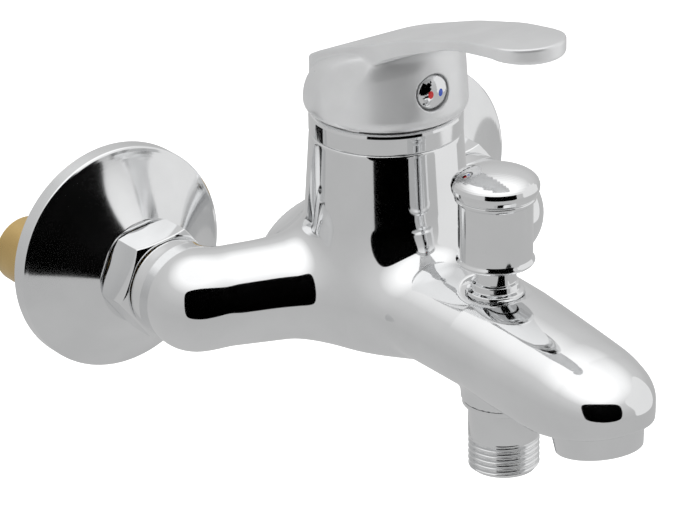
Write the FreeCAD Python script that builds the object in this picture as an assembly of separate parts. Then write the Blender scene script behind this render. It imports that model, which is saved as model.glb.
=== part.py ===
import FreeCAD, Part
import math
import os

# A wall mounted, single-lever bath and shower mixer. Millimetres. X is right as seen from the
# front, +Y goes into the wall, +Z is up. The origin is on the wall's face, midway between the
# two wall inlets, so everything in front of the wall has a negative Y.

# ---- driving dimensions: the wall side
WALL_SPACING = 150.0        # centre distance of the two inlets in the wall
BODY_SPACING = 110.0        # centre distance of the mixer's own two inlets
STUD_R = 20.955 / 2         # G1/2 thread into the wall
STUD_LENGTH = 18.0
STUD_BORE_R = 7.0
STUD_FOOT = 1.0             # how far the round stud stands in front of the wall
UNION_R = 26.441 / 2        # G3/4 thread on the mixer's side of the union
UNION_START = 10.0          # distances in front of the wall
UNION_END = 23.6
UNION_BORE_R = 9.0
ROSETTE_R = 35.0
ROSETTE_RIM = 4.8
ROSETTE_HEIGHT = 18.4
ROSETTE_COLLAR_WALL = 3.2   # metal round the union thread at the cover's top
ROSETTE_WALL = 1.2
NUT_ACROSS_FLATS = 30.0
NUT_START = 19.0
NUT_END = 31.6
NUT_LIP = 2.2
NUT_CHAMFER = 1.2
WASHER_THICKNESS = 2.2
TAIL_WALL = 3.0
TAIL_FLANGE = 3.2
TAIL_SCREWED_LENGTH = 11.0
STRAINER_THICKNESS = 0.8
FIT_GAP = 0.15              # between parts that screw or slip together
LOOSE_GAP = 0.3

# ---- driving dimensions: the cast body
BODY_FACE = 32.2            # where the arms end, in front of the wall
ARM_R = 14.8
ARM_WALL = 4.0              # casting outside the tailpiece
ARM_ROOT_R = 17.5
ELBOW_INSET = 1.0           # how far the elbow's ball reaches into the socket
TOWER_Y = -66.0
TOWER_WALL = 3.2            # casting outside the clamp nut
TOWER_SPREAD = 3.4          # how much wider the tower is at its foot
TOWER_BASE_Z = -3.0
TOWER_TOP_Z = 48.0
BELLY_Z = -17.5
ARM_BORE_R = 7.0
SPOUT_REACH = 101.0         # from the tower's axis to the aerator's axis
SPOUT_HALF_WIDTH = 20.0
SPOUT_HALF_HEIGHT = 14.8
SPOUT_BORE_R = 5.5
SPOUT_TILT = 9.0            # degrees that the aerator leans forward
AERATOR_R = 13.5
AERATOR_LENGTH = 7.0
AERATOR_CLEAR = 4.5         # cut back round the ring, under the spout
AERATOR_LIP = 1.5           # how far the ring stands out past its socket
AERATOR_SOCKET_DEPTH = 5.0

# ---- driving dimensions: cartridge and cover ring
SEAT_Z = 12.0
CARTRIDGE_R = 17.5
CARTRIDGE_SHOULDER = 4.0    # width of the shoulder that the clamp nut presses on
NECK_WALL = 1.1
CAN_WALL = 1.4
RUN_GAP = 0.08
GASKET = 1.2
BASE_PLATE = 3.8
DISC = 3.0
FIXED_DISC_INSET = 4.0      # inside the cartridge's outside
MOVING_DISC_INSET = 7.1
CARRIER = 7.0
PORT_R = 3.2
PORT_CIRCLE_R = 7.5
LEVER_ARM = 12.0            # pivot pin to ball end
BALL_R = 3.0
BALL_DEPTH = 2.5            # ball centre below the top of its socket
PIN_R = 1.5
STEM_SIDE = 8.0
SOCKET_GAP = 0.3            # round the ball end
STEM_SWAY = 1.3             # slot in front of the stem
CLAMP_NUT_LAND = 1.9        # how much wider the clamp nut is than the cartridge
CLAMP_NUT_HEIGHT = 8.0
RING_STEP = 0.3             # how far the ring stands out past the tower
RING_HEIGHT = 6.6
RING_WIDTH = 5.9

# ---- driving dimensions: handle
CAP_WALL = 2.1              # at the cap's widest place
CAP_INSET = 1.0             # the cap's inside edge, inside the ring's outside
CAP_HEIGHT = 29.0
CAP_GAP = 0.4
HUB_R = 8.0
LEVER_HALF_WIDTH = 16.0
LEVER_REACH = 78.0          # from the tower's axis to the lever's tip
LEVER_TIP_R = 11.5
SCREW_R = 2.5
SCREW_LENGTH = 14.0
PLUG_R = 5.3
PLUG_Z = 18.3               # above the top of the tower

# ---- driving dimensions: diverter and shower outlet
DIVERTER_REACH = 53.0       # from the tower's axis
CHAMBER_R = 8.0
CHAMBER_FLOOR_Z = -8.5
BOSS_TOP_Z = 14.0
BOSS_WALL = 1.6
BOSS_RECESS = 6.0           # depth of the round recess cut above the boss
NECK_R = 6.1
NECK_TOP_Z = 35.0
KNOB_WALL = 4.8             # sleeve outside the neck
KNOB_BRIM = 2.0             # how far the brim stands out
KNOB_BOTTOM_Z = 23.4
KNOB_TOP_Z = 52.4
ROD_R = 2.5
DIVERTER_TRAVEL = 8.0
VALVE_DISC_GAP = 1.1        # round the valve disc in its chamber
SPRING_WIRE = 0.9
OUTLET_REACH = 57.0         # from the tower's axis
OUTLET_R = 20.955 / 2       # G1/2 thread for the shower hose
OUTLET_WALL = 2.9
OUTLET_COLLAR = 1.7         # how far the collar stands out
OUTLET_TOP_Z = -18.0
OUTLET_BOTTOM_Z = -40.0
OUTLET_SCREW_STEP = 1.5     # how much thinner the end in the casting is
CHECK_LENGTH = 12.0
POPPET_TRAVEL = 3.0

# ---- derived radii
ELBOW_DEPTH = BODY_FACE + ARM_R - ELBOW_INSET
TAIL_R = ARM_R - ARM_WALL
TAIL_BORE_R = TAIL_R - TAIL_WALL
CLAMP_NUT_R = CARTRIDGE_R + CLAMP_NUT_LAND
TOWER_TOP_R = CLAMP_NUT_R + TOWER_WALL
TOWER_BASE_R = TOWER_TOP_R + TOWER_SPREAD
CARTRIDGE_NECK_R = CARTRIDGE_R - CARTRIDGE_SHOULDER
ROTOR_R = CARTRIDGE_NECK_R - NECK_WALL
FIXED_DISC_R = CARTRIDGE_R - FIXED_DISC_INSET
MOVING_DISC_R = CARTRIDGE_R - MOVING_DISC_INSET
RING_R = TOWER_TOP_R + RING_STEP
RING_BORE_R = RING_R - RING_WIDTH
CAP_SKIRT_R = RING_R - CAP_INSET
CAP_R = CAP_SKIRT_R + CAP_WALL
AERATOR_SOCKET_R = AERATOR_R - AERATOR_LIP
VALVE_DISC_R = CHAMBER_R - VALVE_DISC_GAP
BOSS_R = CHAMBER_R + BOSS_WALL
KNOB_R = NECK_R + KNOB_WALL
KNOB_BRIM_R = KNOB_R + KNOB_BRIM
OUTLET_BORE_R = OUTLET_R - OUTLET_WALL
OUTLET_COLLAR_R = OUTLET_R + OUTLET_COLLAR
OUTLET_SCREW_R = OUTLET_R - OUTLET_SCREW_STEP
CHECK_R = OUTLET_BORE_R - FIT_GAP

# ---- derived places
PIVOT_Z = SEAT_Z + GASKET + BASE_PLATE + 2 * DISC + CARRIER - BALL_DEPTH + LEVER_ARM
RING_TOP_Z = TOWER_TOP_Z + RING_HEIGHT
CAP_BOTTOM_Z = RING_TOP_Z + CAP_GAP
DIVERTER_Y = TOWER_Y - DIVERTER_REACH
OUTLET_Y = TOWER_Y - OUTLET_REACH
AERATOR_Y = TOWER_Y - SPOUT_REACH
SIDES = (("l", -1.0), ("r", 1.0))


def vec(x, y, z):
    """A point or direction."""
    return FreeCAD.Vector(x, y, z)


def cylinder(radius, low, high, x=0.0, y=0.0):
    """An upright cylinder between two heights."""
    return Part.makeCylinder(radius, high - low, vec(x, y, low))


def rod_between(radius, start, end):
    """A cylinder from one point to another."""
    direction = end.sub(start)
    return Part.makeCylinder(radius, direction.Length, start, direction)


def lathe(profile):
    """Turn a closed outline of (radius, height) points about the Z axis."""
    points = [vec(radius, 0, height) for radius, height in profile]
    face = Part.Face(Part.makePolygon(points + points[:1]))
    return face.revolve(vec(0, 0, 0), vec(0, 0, 1), 360)


def outward(shape, x=0.0, z=0.0, start=0.0):
    """Stand an upright shape on the wall, so that its height becomes distance from the wall."""
    placed = shape.copy()
    placed.Placement = FreeCAD.Placement(vec(x, -start, z), FreeCAD.Rotation(vec(1, 0, 0), 90))
    return placed


def moved(shape, x=0.0, y=0.0, z=0.0):
    """The shape, shifted."""
    placed = shape.copy()
    placed.translate(vec(x, y, z))
    return placed


def box(low, high):
    """A box between two corners."""
    size = high.sub(low)
    return Part.makeBox(size.x, size.y, size.z, low)


def union(first, others):
    """Fuse shapes into one solid and drop the seams."""
    return first.multiFuse(others).removeSplitter()


def wall_circle(radius, x, distance):
    """A circle parallel to the wall."""
    return Part.Wire(Part.makeCircle(radius, vec(x, -distance, 0), vec(0, 1, 0)))


def coil(radius, wire_radius, low, high, turns):
    """An open compression spring between two heights."""
    span = high - low - 2 * wire_radius
    path = Part.makeHelix(span / turns, span, radius)
    ring = Part.Wire(Part.makeCircle(wire_radius, vec(radius, 0, 0), vec(0, 1, 0)))
    spring = Part.Wire(path).makePipeShell([ring], True, True)
    return moved(spring, z=low + wire_radius)


# ---------------------------------------------------------------- wall side

def eccentric_union(side):
    """The offset union: wall stud, sloping neck and the threaded barrel for the nut."""
    x_wall = WALL_SPACING / 2
    x_body = BODY_SPACING / 2
    stud = outward(cylinder(STUD_R, -STUD_LENGTH, STUD_FOOT), x_wall)
    neck = Part.makeLoft([wall_circle(STUD_R, x_wall, STUD_FOOT),
                          wall_circle(STUD_R, x_body, UNION_START)], True, True)
    barrel = outward(cylinder(UNION_R, UNION_START, UNION_END), x_body)
    solid = union(stud, [neck, barrel])
    wall_bore = outward(cylinder(STUD_BORE_R, -STUD_LENGTH - 1, STUD_FOOT), x_wall)
    neck_bore = Part.makeLoft([wall_circle(STUD_BORE_R, x_wall, STUD_FOOT),
                               wall_circle(STUD_BORE_R, x_body, UNION_START)], True, True)
    barrel_bore = outward(cylinder(UNION_BORE_R, UNION_START, UNION_END + 1), x_body)
    right = solid.cut(wall_bore.multiFuse([neck_bore, barrel_bore]))
    return right if side > 0 else right.mirror(vec(0, 0, 0), vec(1, 0, 0))


def rosette(side):
    """The round wall cover: a rim and a shallow trumpet-shaped face, hollow behind."""
    outer = [(ROSETTE_R, 0), (ROSETTE_R, ROSETTE_RIM)]
    span_r = ROSETTE_R - 0.6 - (UNION_R + ROSETTE_COLLAR_WALL)
    span_z = ROSETTE_HEIGHT - ROSETTE_RIM - 0.5
    steps = 8
    for step in range(steps + 1):
        share = step / steps
        radius = ROSETTE_R - 0.6 - span_r * share
        height = ROSETTE_RIM + 0.5 + span_z * share ** 1.15
        outer.append((radius, height))
    hole = UNION_R + FIT_GAP
    inner = [(hole, ROSETTE_HEIGHT), (hole, ROSETTE_HEIGHT - 3.0)]
    for step in range(steps, -1, -1):
        radius, height = outer[2 + step]
        inner.append((max(radius - ROSETTE_WALL, hole + 0.5), height - 1.6 * ROSETTE_WALL))
    inner[2] = (hole + 0.5, ROSETTE_HEIGHT - 3.0)
    inner.append((ROSETTE_R - ROSETTE_WALL, ROSETTE_RIM - 1.0))
    inner.append((ROSETTE_R - ROSETTE_WALL, 0))
    return outward(lathe(outer + inner), side * BODY_SPACING / 2)


def union_nut(side):
    """The captive hexagon nut that draws the mixer onto the union."""
    corner = NUT_ACROSS_FLATS / 2 / math.cos(math.pi / 6)
    points = [vec(corner * math.cos(math.radians(60 * i + 8)),
                  corner * math.sin(math.radians(60 * i + 8)), NUT_START) for i in range(7)]
    points[6] = points[0]
    prism = Part.Face(Part.makePolygon(points)).extrude(vec(0, 0, NUT_END - NUT_START))
    flat = NUT_ACROSS_FLATS / 2
    envelope = lathe([(0, NUT_START), (flat, NUT_START), (corner, NUT_START + NUT_CHAMFER),
                      (corner, NUT_END - NUT_CHAMFER), (flat, NUT_END), (0, NUT_END)])
    nut = prism.common(envelope)
    nut = nut.cut(cylinder(UNION_R + FIT_GAP, NUT_START - 1, NUT_END - NUT_LIP))
    nut = nut.cut(cylinder(TAIL_R + LOOSE_GAP, NUT_START, NUT_END + 1))
    return outward(nut, side * BODY_SPACING / 2)


def tail_face():
    """Where the tailpiece's flange starts, in front of the washer."""
    return UNION_END + WASHER_THICKNESS


def inlet_tailpiece(side):
    """The flanged tube screwed into the body, which holds the nut."""
    flange = cylinder(UNION_R - LOOSE_GAP, tail_face(), tail_face() + TAIL_FLANGE)
    shank = cylinder(TAIL_R, tail_face(), BODY_FACE + TAIL_SCREWED_LENGTH)
    tube = union(flange, [shank]).cut(
        cylinder(TAIL_BORE_R, tail_face() - 1, BODY_FACE + TAIL_SCREWED_LENGTH + 1))
    return outward(tube, side * BODY_SPACING / 2)


def inlet_washer(side):
    """The flat fibre washer between union and tailpiece."""
    ring = cylinder(UNION_R - LOOSE_GAP, UNION_END, tail_face())
    ring = ring.cut(cylinder(UNION_BORE_R + 0.4, UNION_END - 1, tail_face() + 1))
    return outward(ring, side * BODY_SPACING / 2)


def inlet_strainer(side):
    """The perforated disc that sits in the washer."""
    middle = UNION_END + WASHER_THICKNESS / 2
    disc = cylinder(UNION_BORE_R + 0.4, middle - STRAINER_THICKNESS / 2, middle + STRAINER_THICKNESS / 2)
    holes = [cylinder(0.9, UNION_END - 1, tail_face() + 1)]
    for ring_number, count in ((1, 6), (2, 12)):
        for i in range(count):
            angle = 2 * math.pi * i / count
            radius = 3.2 * ring_number
            holes.append(cylinder(0.9, UNION_END - 1, tail_face() + 1,
                                  radius * math.cos(angle), radius * math.sin(angle)))
    return outward(disc.cut(holes[0].multiFuse(holes[1:])), side * BODY_SPACING / 2)


# ---------------------------------------------------------------- cast body

def ellipse_section(y, z, half_width, half_height):
    """An upright ellipse across the spout."""
    curve = Part.Ellipse(vec(0, 0, 0), max(half_width, half_height + 0.01), half_height)
    wire = Part.Wire(curve.toShape())
    wire.Placement = FreeCAD.Placement(vec(0, y, z), FreeCAD.Rotation(vec(1, 0, 0), 90))
    return wire


def spout_middle_z(y):
    """Height of the spout's middle, which falls gently towards the tip."""
    share = (TOWER_Y - y) / SPOUT_REACH
    return 1.0 - 3.0 * share ** 2


def aerator_axis():
    """Start of the aerator's seat and the direction of its outlet."""
    lean = math.radians(SPOUT_TILT)
    direction = vec(0, -math.sin(lean), -math.cos(lean))
    start = vec(0, AERATOR_Y + 2.0, spout_middle_z(AERATOR_Y))
    return start, direction


def along_aerator(radius, start, end):
    """A cylinder on the aerator's axis."""
    origin, direction = aerator_axis()
    return Part.makeCylinder(radius, end - start, origin + direction * start, direction)


AERATOR_SEAT = 8.5          # from the spout's middle down to the end of the casting


def arm(side):
    """One arm: straight end, round elbow and the taper to the tower."""
    x = side * BODY_SPACING / 2
    end = outward(cylinder(ARM_R, BODY_FACE, ELBOW_DEPTH), x)
    elbow = Part.makeSphere(ARM_R, vec(x, -ELBOW_DEPTH, 0))
    start = vec(x, -ELBOW_DEPTH, 0)
    reach = vec(0, TOWER_Y + 3.0, 0).sub(start)
    taper = Part.makeCone(ARM_R, ARM_ROOT_R, reach.Length, start, reach)
    return [end, elbow, taper]


def arm_bore(side):
    """The waterway of one arm, up to its port in the cartridge seat."""
    x = side * BODY_SPACING / 2
    socket = outward(cylinder(TAIL_R, BODY_FACE - 1, BODY_FACE + TAIL_SCREWED_LENGTH), x)
    turn = vec(x, -ELBOW_DEPTH, 0)
    port_x = side * PORT_CIRCLE_R
    inner = vec(port_x, TOWER_Y + 4.0, 0)
    straight = outward(cylinder(ARM_BORE_R, BODY_FACE, ELBOW_DEPTH), x)
    ball = Part.makeSphere(ARM_BORE_R, turn)
    cross = rod_between(PORT_R + 0.3, turn, inner)
    port = cylinder(PORT_R, -1.0, SEAT_Z + 1, port_x, TOWER_Y + 4.0)
    return [socket, straight, ball, cross, port]


def spout_solid():
    """The spout, lofted from the tower to a round nose that keeps its shape at the aerator."""
    root = ((-4.0, 1.20, 1.08), (22.0, 1.15, 1.05), (53.0, 1.10, 1.03))
    nose = ((-19.0, 0.97, 0.93), (3.0, 0.86, 0.78), (15.5, 0.50, 0.44))
    places = root + tuple((SPOUT_REACH + ahead, wide, high) for ahead, wide, high in nose)
    sections = []
    for distance, wide, high in places:
        y = TOWER_Y - distance
        sections.append(ellipse_section(y, spout_middle_z(y), SPOUT_HALF_WIDTH * wide,
                                        SPOUT_HALF_HEIGHT * high))
    return Part.makeLoft(sections, True, False)


def body():
    """The casting that joins both inlets, the cartridge tower, the spout and the diverter."""
    tower = moved(lathe([(0, BELLY_Z), (13.0, BELLY_Z), (21.5, BELLY_Z + 5.0),
                         (TOWER_BASE_R, TOWER_BASE_Z), (TOWER_TOP_R, TOWER_TOP_Z),
                         (0, TOWER_TOP_Z)]), y=TOWER_Y)
    pieces = [spout_solid(), along_aerator(AERATOR_R + 1.0, 0, AERATOR_SEAT)]
    for _, side in SIDES:
        pieces += arm(side)
    pieces.append(moved(lathe([(0, 0), (BOSS_R + 2.4, 0), (BOSS_R, BOSS_TOP_Z), (0, BOSS_TOP_Z)]),
                        y=DIVERTER_Y))
    pieces.append(cylinder(OUTLET_COLLAR_R + 0.6, OUTLET_TOP_Z, CHAMBER_FLOOR_Z, 0, OUTLET_Y))
    solid = union(tower, pieces)

    nut_seat = cartridge_shoulder_z()
    cuts = [cylinder(CLAMP_NUT_R + FIT_GAP, nut_seat, TOWER_TOP_Z + 1, 0, TOWER_Y),
            cylinder(CHAMBER_R, CHAMBER_FLOOR_Z, BOSS_TOP_Z + 1, 0, DIVERTER_Y),
            cylinder(BOSS_R, BOSS_TOP_Z, BOSS_TOP_Z + BOSS_RECESS, 0, DIVERTER_Y),
            along_aerator(AERATOR_R + AERATOR_CLEAR, AERATOR_SEAT, AERATOR_SEAT + AERATOR_LENGTH + 6.0),
            cylinder(4.6, OUTLET_TOP_Z, 0, 0, DIVERTER_Y - 0.5),
            cylinder(OUTLET_SCREW_R, OUTLET_TOP_Z - 1, CHAMBER_FLOOR_Z - 2.0, 0, OUTLET_Y)]
    spout_start = vec(0, TOWER_Y - PORT_CIRCLE_R, spout_middle_z(TOWER_Y))
    spout_end = vec(0, AERATOR_Y + 2.0, spout_middle_z(AERATOR_Y))
    cuts.append(rod_between(SPOUT_BORE_R, spout_start, spout_end))
    cuts.append(Part.makeSphere(SPOUT_BORE_R, spout_end))
    cuts.append(cylinder(PORT_R, -1.0, SEAT_Z + 1, 0, TOWER_Y - PORT_CIRCLE_R))
    cuts.append(along_aerator(AERATOR_SOCKET_R - 2.0, 0, AERATOR_SEAT))
    cuts.append(along_aerator(AERATOR_SOCKET_R + FIT_GAP, AERATOR_SEAT - AERATOR_SOCKET_DEPTH,
                              AERATOR_SEAT + 1))
    for _, side in SIDES:
        cuts += arm_bore(side)
    cavity = cylinder(CARTRIDGE_R + FIT_GAP, SEAT_Z, TOWER_TOP_Z + 1, 0, TOWER_Y)
    return solid.cut(cavity.multiFuse(cuts))


# ---------------------------------------------------------------- cartridge

def port_places():
    """The two inlets and the outlet in the cartridge's foot."""
    return ((-PORT_CIRCLE_R, TOWER_Y + 4.0), (PORT_CIRCLE_R, TOWER_Y + 4.0),
            (0.0, TOWER_Y - PORT_CIRCLE_R))


def with_ports(shape, low, high, radius=PORT_R):
    """Cut the three ports through a plate."""
    holes = [cylinder(radius, low - 1, high + 1, x, y) for x, y in port_places()]
    return shape.cut(holes[0].multiFuse(holes[1:]))


def plate_levels():
    """Heights of the stacked plates, from the seat up."""
    levels = [SEAT_Z]
    for thickness in (GASKET, BASE_PLATE, DISC, DISC, CARRIER):
        levels.append(levels[-1] + thickness)
    return levels


def cartridge_shoulder_z():
    """The housing's shoulder, which the clamp nut presses on."""
    return plate_levels()[5] + 7.0


def port_gasket():
    """The rubber gasket under the cartridge."""
    low, high = plate_levels()[0:2]
    return with_ports(cylinder(CARTRIDGE_R - 0.8, low, high, 0, TOWER_Y), low, high)


def cartridge_base():
    """The plastic foot with the three ports."""
    low, high = plate_levels()[1:3]
    return with_ports(cylinder(CARTRIDGE_R, low, high, 0, TOWER_Y), low, high)


def fixed_disc():
    """The ceramic disc with the ports."""
    low, high = plate_levels()[2:4]
    return with_ports(cylinder(FIXED_DISC_R, low, high, 0, TOWER_Y), low, high, PORT_R - 0.4)


def moving_disc():
    """The ceramic disc with the mixing pocket, which slides on the fixed one."""
    low, high = plate_levels()[3:5]
    disc = cylinder(MOVING_DISC_R, low + 0.02, high, 0, TOWER_Y)
    return disc.cut(cylinder(5.6, low - 1, low + 1.6, 0, TOWER_Y - 1.5))


def disc_carrier():
    """The plastic driver on the moving disc, with the socket for the ball end."""
    low, high = plate_levels()[4:6]
    carrier = cylinder(MOVING_DISC_R + 0.5, low, high, 0, TOWER_Y)
    return carrier.cut(cylinder(BALL_R + SOCKET_GAP, low + 1.2, high + 1, 0, TOWER_Y))


def cartridge_housing():
    """The plastic can around the discs, with the neck that guides the rotor."""
    foot = plate_levels()[2]
    shoulder = cartridge_shoulder_z()
    flange = shoulder - 3.4
    neck_top = shoulder + CLAMP_NUT_HEIGHT + 1.6
    return moved(lathe([(CARTRIDGE_R - CAN_WALL, foot), (CARTRIDGE_R, foot), (CARTRIDGE_R, shoulder),
                        (CARTRIDGE_NECK_R, shoulder), (CARTRIDGE_NECK_R, neck_top),
                        (ROTOR_R + RUN_GAP, neck_top), (ROTOR_R + RUN_GAP, flange),
                        (CARTRIDGE_R - CAN_WALL, flange)]), y=TOWER_Y)


def rotor():
    """The turning core, slotted for the stem."""
    low = plate_levels()[5] + LOOSE_GAP
    shoulder = cartridge_shoulder_z()
    top = shoulder + CLAMP_NUT_HEIGHT + 4.0
    flange_r = CARTRIDGE_R - CAN_WALL - LOOSE_GAP
    core = moved(lathe([(0, low), (flange_r, low), (flange_r, shoulder - 3.4 - RUN_GAP),
                        (ROTOR_R, shoulder - 3.4 - RUN_GAP), (ROTOR_R, top), (0, top)]), y=TOWER_Y)
    half = STEM_SIDE / 2
    upper = box(vec(-half - 0.1, TOWER_Y - half - STEM_SWAY, PIVOT_Z - 4.5),
                vec(half + 0.1, TOWER_Y + 9.2, top + 1))
    lower = box(vec(-BALL_R - 0.2, TOWER_Y - 8.2, low - 1), vec(BALL_R + 0.2, TOWER_Y + 4.2, PIVOT_Z))
    return core.cut(upper.multiFuse([lower, pin_hole(PIN_R)]))


def pin_hole(radius):
    """The pivot pin's axis as a cylinder."""
    return rod_between(radius, vec(-ROTOR_R - 1, TOWER_Y, PIVOT_Z), vec(ROTOR_R + 1, TOWER_Y, PIVOT_Z))


def pivot_pin():
    """The steel pin that the stem tilts on."""
    length = ROTOR_R - 1.0
    return rod_between(PIN_R, vec(-length, TOWER_Y, PIVOT_Z), vec(length, TOWER_Y, PIVOT_Z))


def stem():
    """The lever stem: square above the pin, a ball end below."""
    half = STEM_SIDE / 2
    upper = box(vec(-half, TOWER_Y - half, PIVOT_Z - 2.6), vec(half, TOWER_Y + half, stem_top_z()))
    ball_z = PIVOT_Z - LEVER_ARM
    shank = cylinder(2.3, ball_z, PIVOT_Z, 0, TOWER_Y)
    ball = Part.makeSphere(BALL_R, vec(0, TOWER_Y, ball_z))
    return union(upper, [shank, ball]).cut(pin_hole(PIN_R + 0.04))


def stem_top_z():
    """The top of the stem, inside the handle's hub."""
    return CAP_BOTTOM_Z + 17.0


def clamp_nut():
    """The brass ring nut that holds the cartridge down."""
    low = cartridge_shoulder_z()
    high = low + CLAMP_NUT_HEIGHT
    nut = cylinder(CLAMP_NUT_R, low, high, 0, TOWER_Y)
    nut = nut.cut(cylinder(CARTRIDGE_NECK_R + FIT_GAP, low - 1, high + 1, 0, TOWER_Y))
    slots = []
    for i in range(6):
        slot = box(vec(CARTRIDGE_NECK_R + 1.6, -1.4, high - 2.4), vec(CLAMP_NUT_R + 1, 1.4, high + 1))
        slot.rotate(vec(0, 0, 0), vec(0, 0, 1), 60 * i)
        slots.append(moved(slot, y=TOWER_Y))
    return nut.cut(slots[0].multiFuse(slots[1:]))


def cover_ring():
    """The bright ring between body and handle. Its shoulder clears the tilting cap."""
    spigot_low = cartridge_shoulder_z() + CLAMP_NUT_HEIGHT
    clear = math.hypot(CAP_SKIRT_R, CAP_BOTTOM_Z - PIVOT_Z) - 0.25
    side_top = PIVOT_Z + math.sqrt(clear ** 2 - RING_R ** 2)
    top_r = math.sqrt(clear ** 2 - (RING_TOP_Z - PIVOT_Z) ** 2)
    middle_r = (RING_R + top_r) / 2
    middle_z = PIVOT_Z + math.sqrt(clear ** 2 - middle_r ** 2)
    return moved(lathe([(RING_BORE_R, spigot_low), (CLAMP_NUT_R - 0.1, spigot_low),
                        (CLAMP_NUT_R - 0.1, TOWER_TOP_Z), (RING_R, TOWER_TOP_Z), (RING_R, side_top),
                        (middle_r, middle_z), (top_r, RING_TOP_Z), (RING_BORE_R, RING_TOP_Z)]),
                 y=TOWER_Y)


# ---------------------------------------------------------------- handle

def lever_line(reach_share):
    """A point (y, z) on the lever's upper side, from 0 at the cap's back to 1 at the tip."""
    back = TOWER_Y + CAP_R - 1.0
    tip = TOWER_Y - LEVER_REACH
    rise = 1.0 - (1.0 - reach_share) ** 1.62
    return back + (tip - back) * reach_share, CAP_BOTTOM_Z + 11.0 + 34.3 * rise


def lever_side_face(thickness):
    """The lever seen from the side, as a face in the plane X = 0."""
    upper = [vec(0, *lever_line(i / 8.0)) for i in range(9)]
    top = Part.BSplineCurve()
    top.interpolate(upper)
    lower = [vec(0, point.y, point.z - thickness(i / 8.0)) for i, point in enumerate(upper)]
    under = Part.BSplineCurve()
    under.interpolate(list(reversed(lower)))
    nose = Part.LineSegment(upper[-1], lower[-1])
    back = Part.LineSegment(lower[0], upper[0])
    return Part.Face(Part.Wire([top.toShape(), nose.toShape(), under.toShape(), back.toShape()]))


def lever_strap():
    """The lever plate: its side view crossed with its tapering plan and round tip."""
    side = lever_side_face(lambda share: 6.0 - 2.2 * math.sin(math.pi * min(share * 1.1, 1.0)))
    side.translate(vec(-LEVER_HALF_WIDTH - 1, 0, 0))
    strip = side.extrude(vec(2 * LEVER_HALF_WIDTH + 2, 0, 0))
    low, high = CAP_BOTTOM_Z, CAP_BOTTOM_Z + 60.0
    tip_y = TOWER_Y - LEVER_REACH + LEVER_TIP_R
    root_r = CAP_R - 2.5
    back_y = TOWER_Y + math.sqrt(root_r ** 2 - LEVER_HALF_WIDTH ** 2)
    left = [vec(-LEVER_TIP_R, tip_y, low), vec(-LEVER_HALF_WIDTH + 2.0, TOWER_Y - 27, low),
            vec(-LEVER_HALF_WIDTH, TOWER_Y, low), vec(-LEVER_HALF_WIDTH, back_y, low)]
    right = [vec(-point.x, point.y, low) for point in reversed(left)]
    edges = [Part.LineSegment(a, b).toShape() for side in (left, right) for a, b in zip(side, side[1:])]
    back = Part.Arc(left[-1], vec(0, TOWER_Y + root_r, low), right[0])
    nose = Part.Arc(right[-1], vec(0, tip_y - LEVER_TIP_R, low), left[0])
    outline = Part.Wire(Part.__sortEdges__(edges + [back.toShape(), nose.toShape()]))
    plan = Part.Face(outline).extrude(vec(0, 0, high - low))
    return strip.common(plan)


def cap_solid():
    """The handle's cap, cut off under the lever's upper side."""
    low = CAP_BOTTOM_Z
    outer = moved(lathe([(0, low), (CAP_SKIRT_R + 0.8, low), (CAP_R, low + 3.0), (CAP_R - 0.1, low + 6.0),
                         (CAP_R - 0.8, low + 17.0), (CAP_R - 2.6, low + 22.5), (CAP_R - 7.5, low + 27.0),
                         (0, low + CAP_HEIGHT)]), y=TOWER_Y)
    depth = 60.0
    below = lever_side_face(lambda share: depth)
    below.translate(vec(-CAP_R - 1, 0, 0))
    return outer.common(below.extrude(vec(2 * CAP_R + 2, 0, 0)))


def plug_axis_z():
    """Height of the indicator plug and the screw behind it."""
    return TOWER_TOP_Z + PLUG_Z


def lever_handle():
    """Cap and lever in one casting, hollow under the cap, with the hub for the stem."""
    low = CAP_BOTTOM_Z
    shell = union(cap_solid(), [lever_strap()])
    hollow = moved(lathe([(0, low - 1), (CAP_SKIRT_R, low - 1), (CAP_SKIRT_R, low + 1.5),
                          (CAP_SKIRT_R - 1.4, low + 7.0), (CAP_SKIRT_R - 4.6, low + 12.0),
                          (0, low + 17.0)]), y=TOWER_Y)
    handle = shell.cut(hollow)
    hub = cylinder(HUB_R, low + 4.6, low + 18.0, 0, TOWER_Y)
    z = plug_axis_z()
    screw_boss = rod_between(SCREW_R + 2.6, vec(0, TOWER_Y, z), vec(0, TOWER_Y - CAP_R + 2.5, z))
    handle = union(handle, [hub, screw_boss])
    half = STEM_SIDE / 2 + 0.05
    socket = box(vec(-half, TOWER_Y - half, low - 1), vec(half, TOWER_Y + half, stem_top_z() + 0.5))
    screw_hole = rod_between(SCREW_R, vec(0, TOWER_Y, z), vec(0, TOWER_Y - CAP_R - 1, z))
    seat = rod_between(PLUG_R + 0.35, vec(0, plug_seat_y(), z), vec(0, TOWER_Y - CAP_R - 1, z))
    return handle.cut(socket.multiFuse([screw_hole, seat]))


def plug_seat_y():
    """The floor of the indicator plug's recess."""
    return TOWER_Y - CAP_R + 2.2


def grub_screw():
    """The set screw that grips the stem."""
    z = plug_axis_z()
    start = TOWER_Y - STEM_SIDE / 2
    screw = rod_between(SCREW_R, vec(0, start, z), vec(0, start - SCREW_LENGTH, z))
    corner = 1.25 / math.cos(math.pi / 6)
    points = [vec(corner * math.cos(math.radians(60 * i)), start - SCREW_LENGTH - 1,
                  z + corner * math.sin(math.radians(60 * i))) for i in range(6)]
    hexagon = Part.Face(Part.makePolygon(points + points[:1])).extrude(vec(0, 4.5, 0))
    return screw.cut(hexagon)


def indicator_plug():
    """The domed plug over the screw."""
    dome = lathe([(0, -2.4), (SCREW_R - 0.1, -2.4), (SCREW_R - 0.1, 0), (PLUG_R, 0), (PLUG_R, 1.0),
                  (PLUG_R * 0.85, 2.0), (PLUG_R * 0.5, 2.8), (0, 3.1)])
    return outward(dome, 0, plug_axis_z(), -plug_seat_y())


# ---------------------------------------------------------------- diverter

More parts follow.
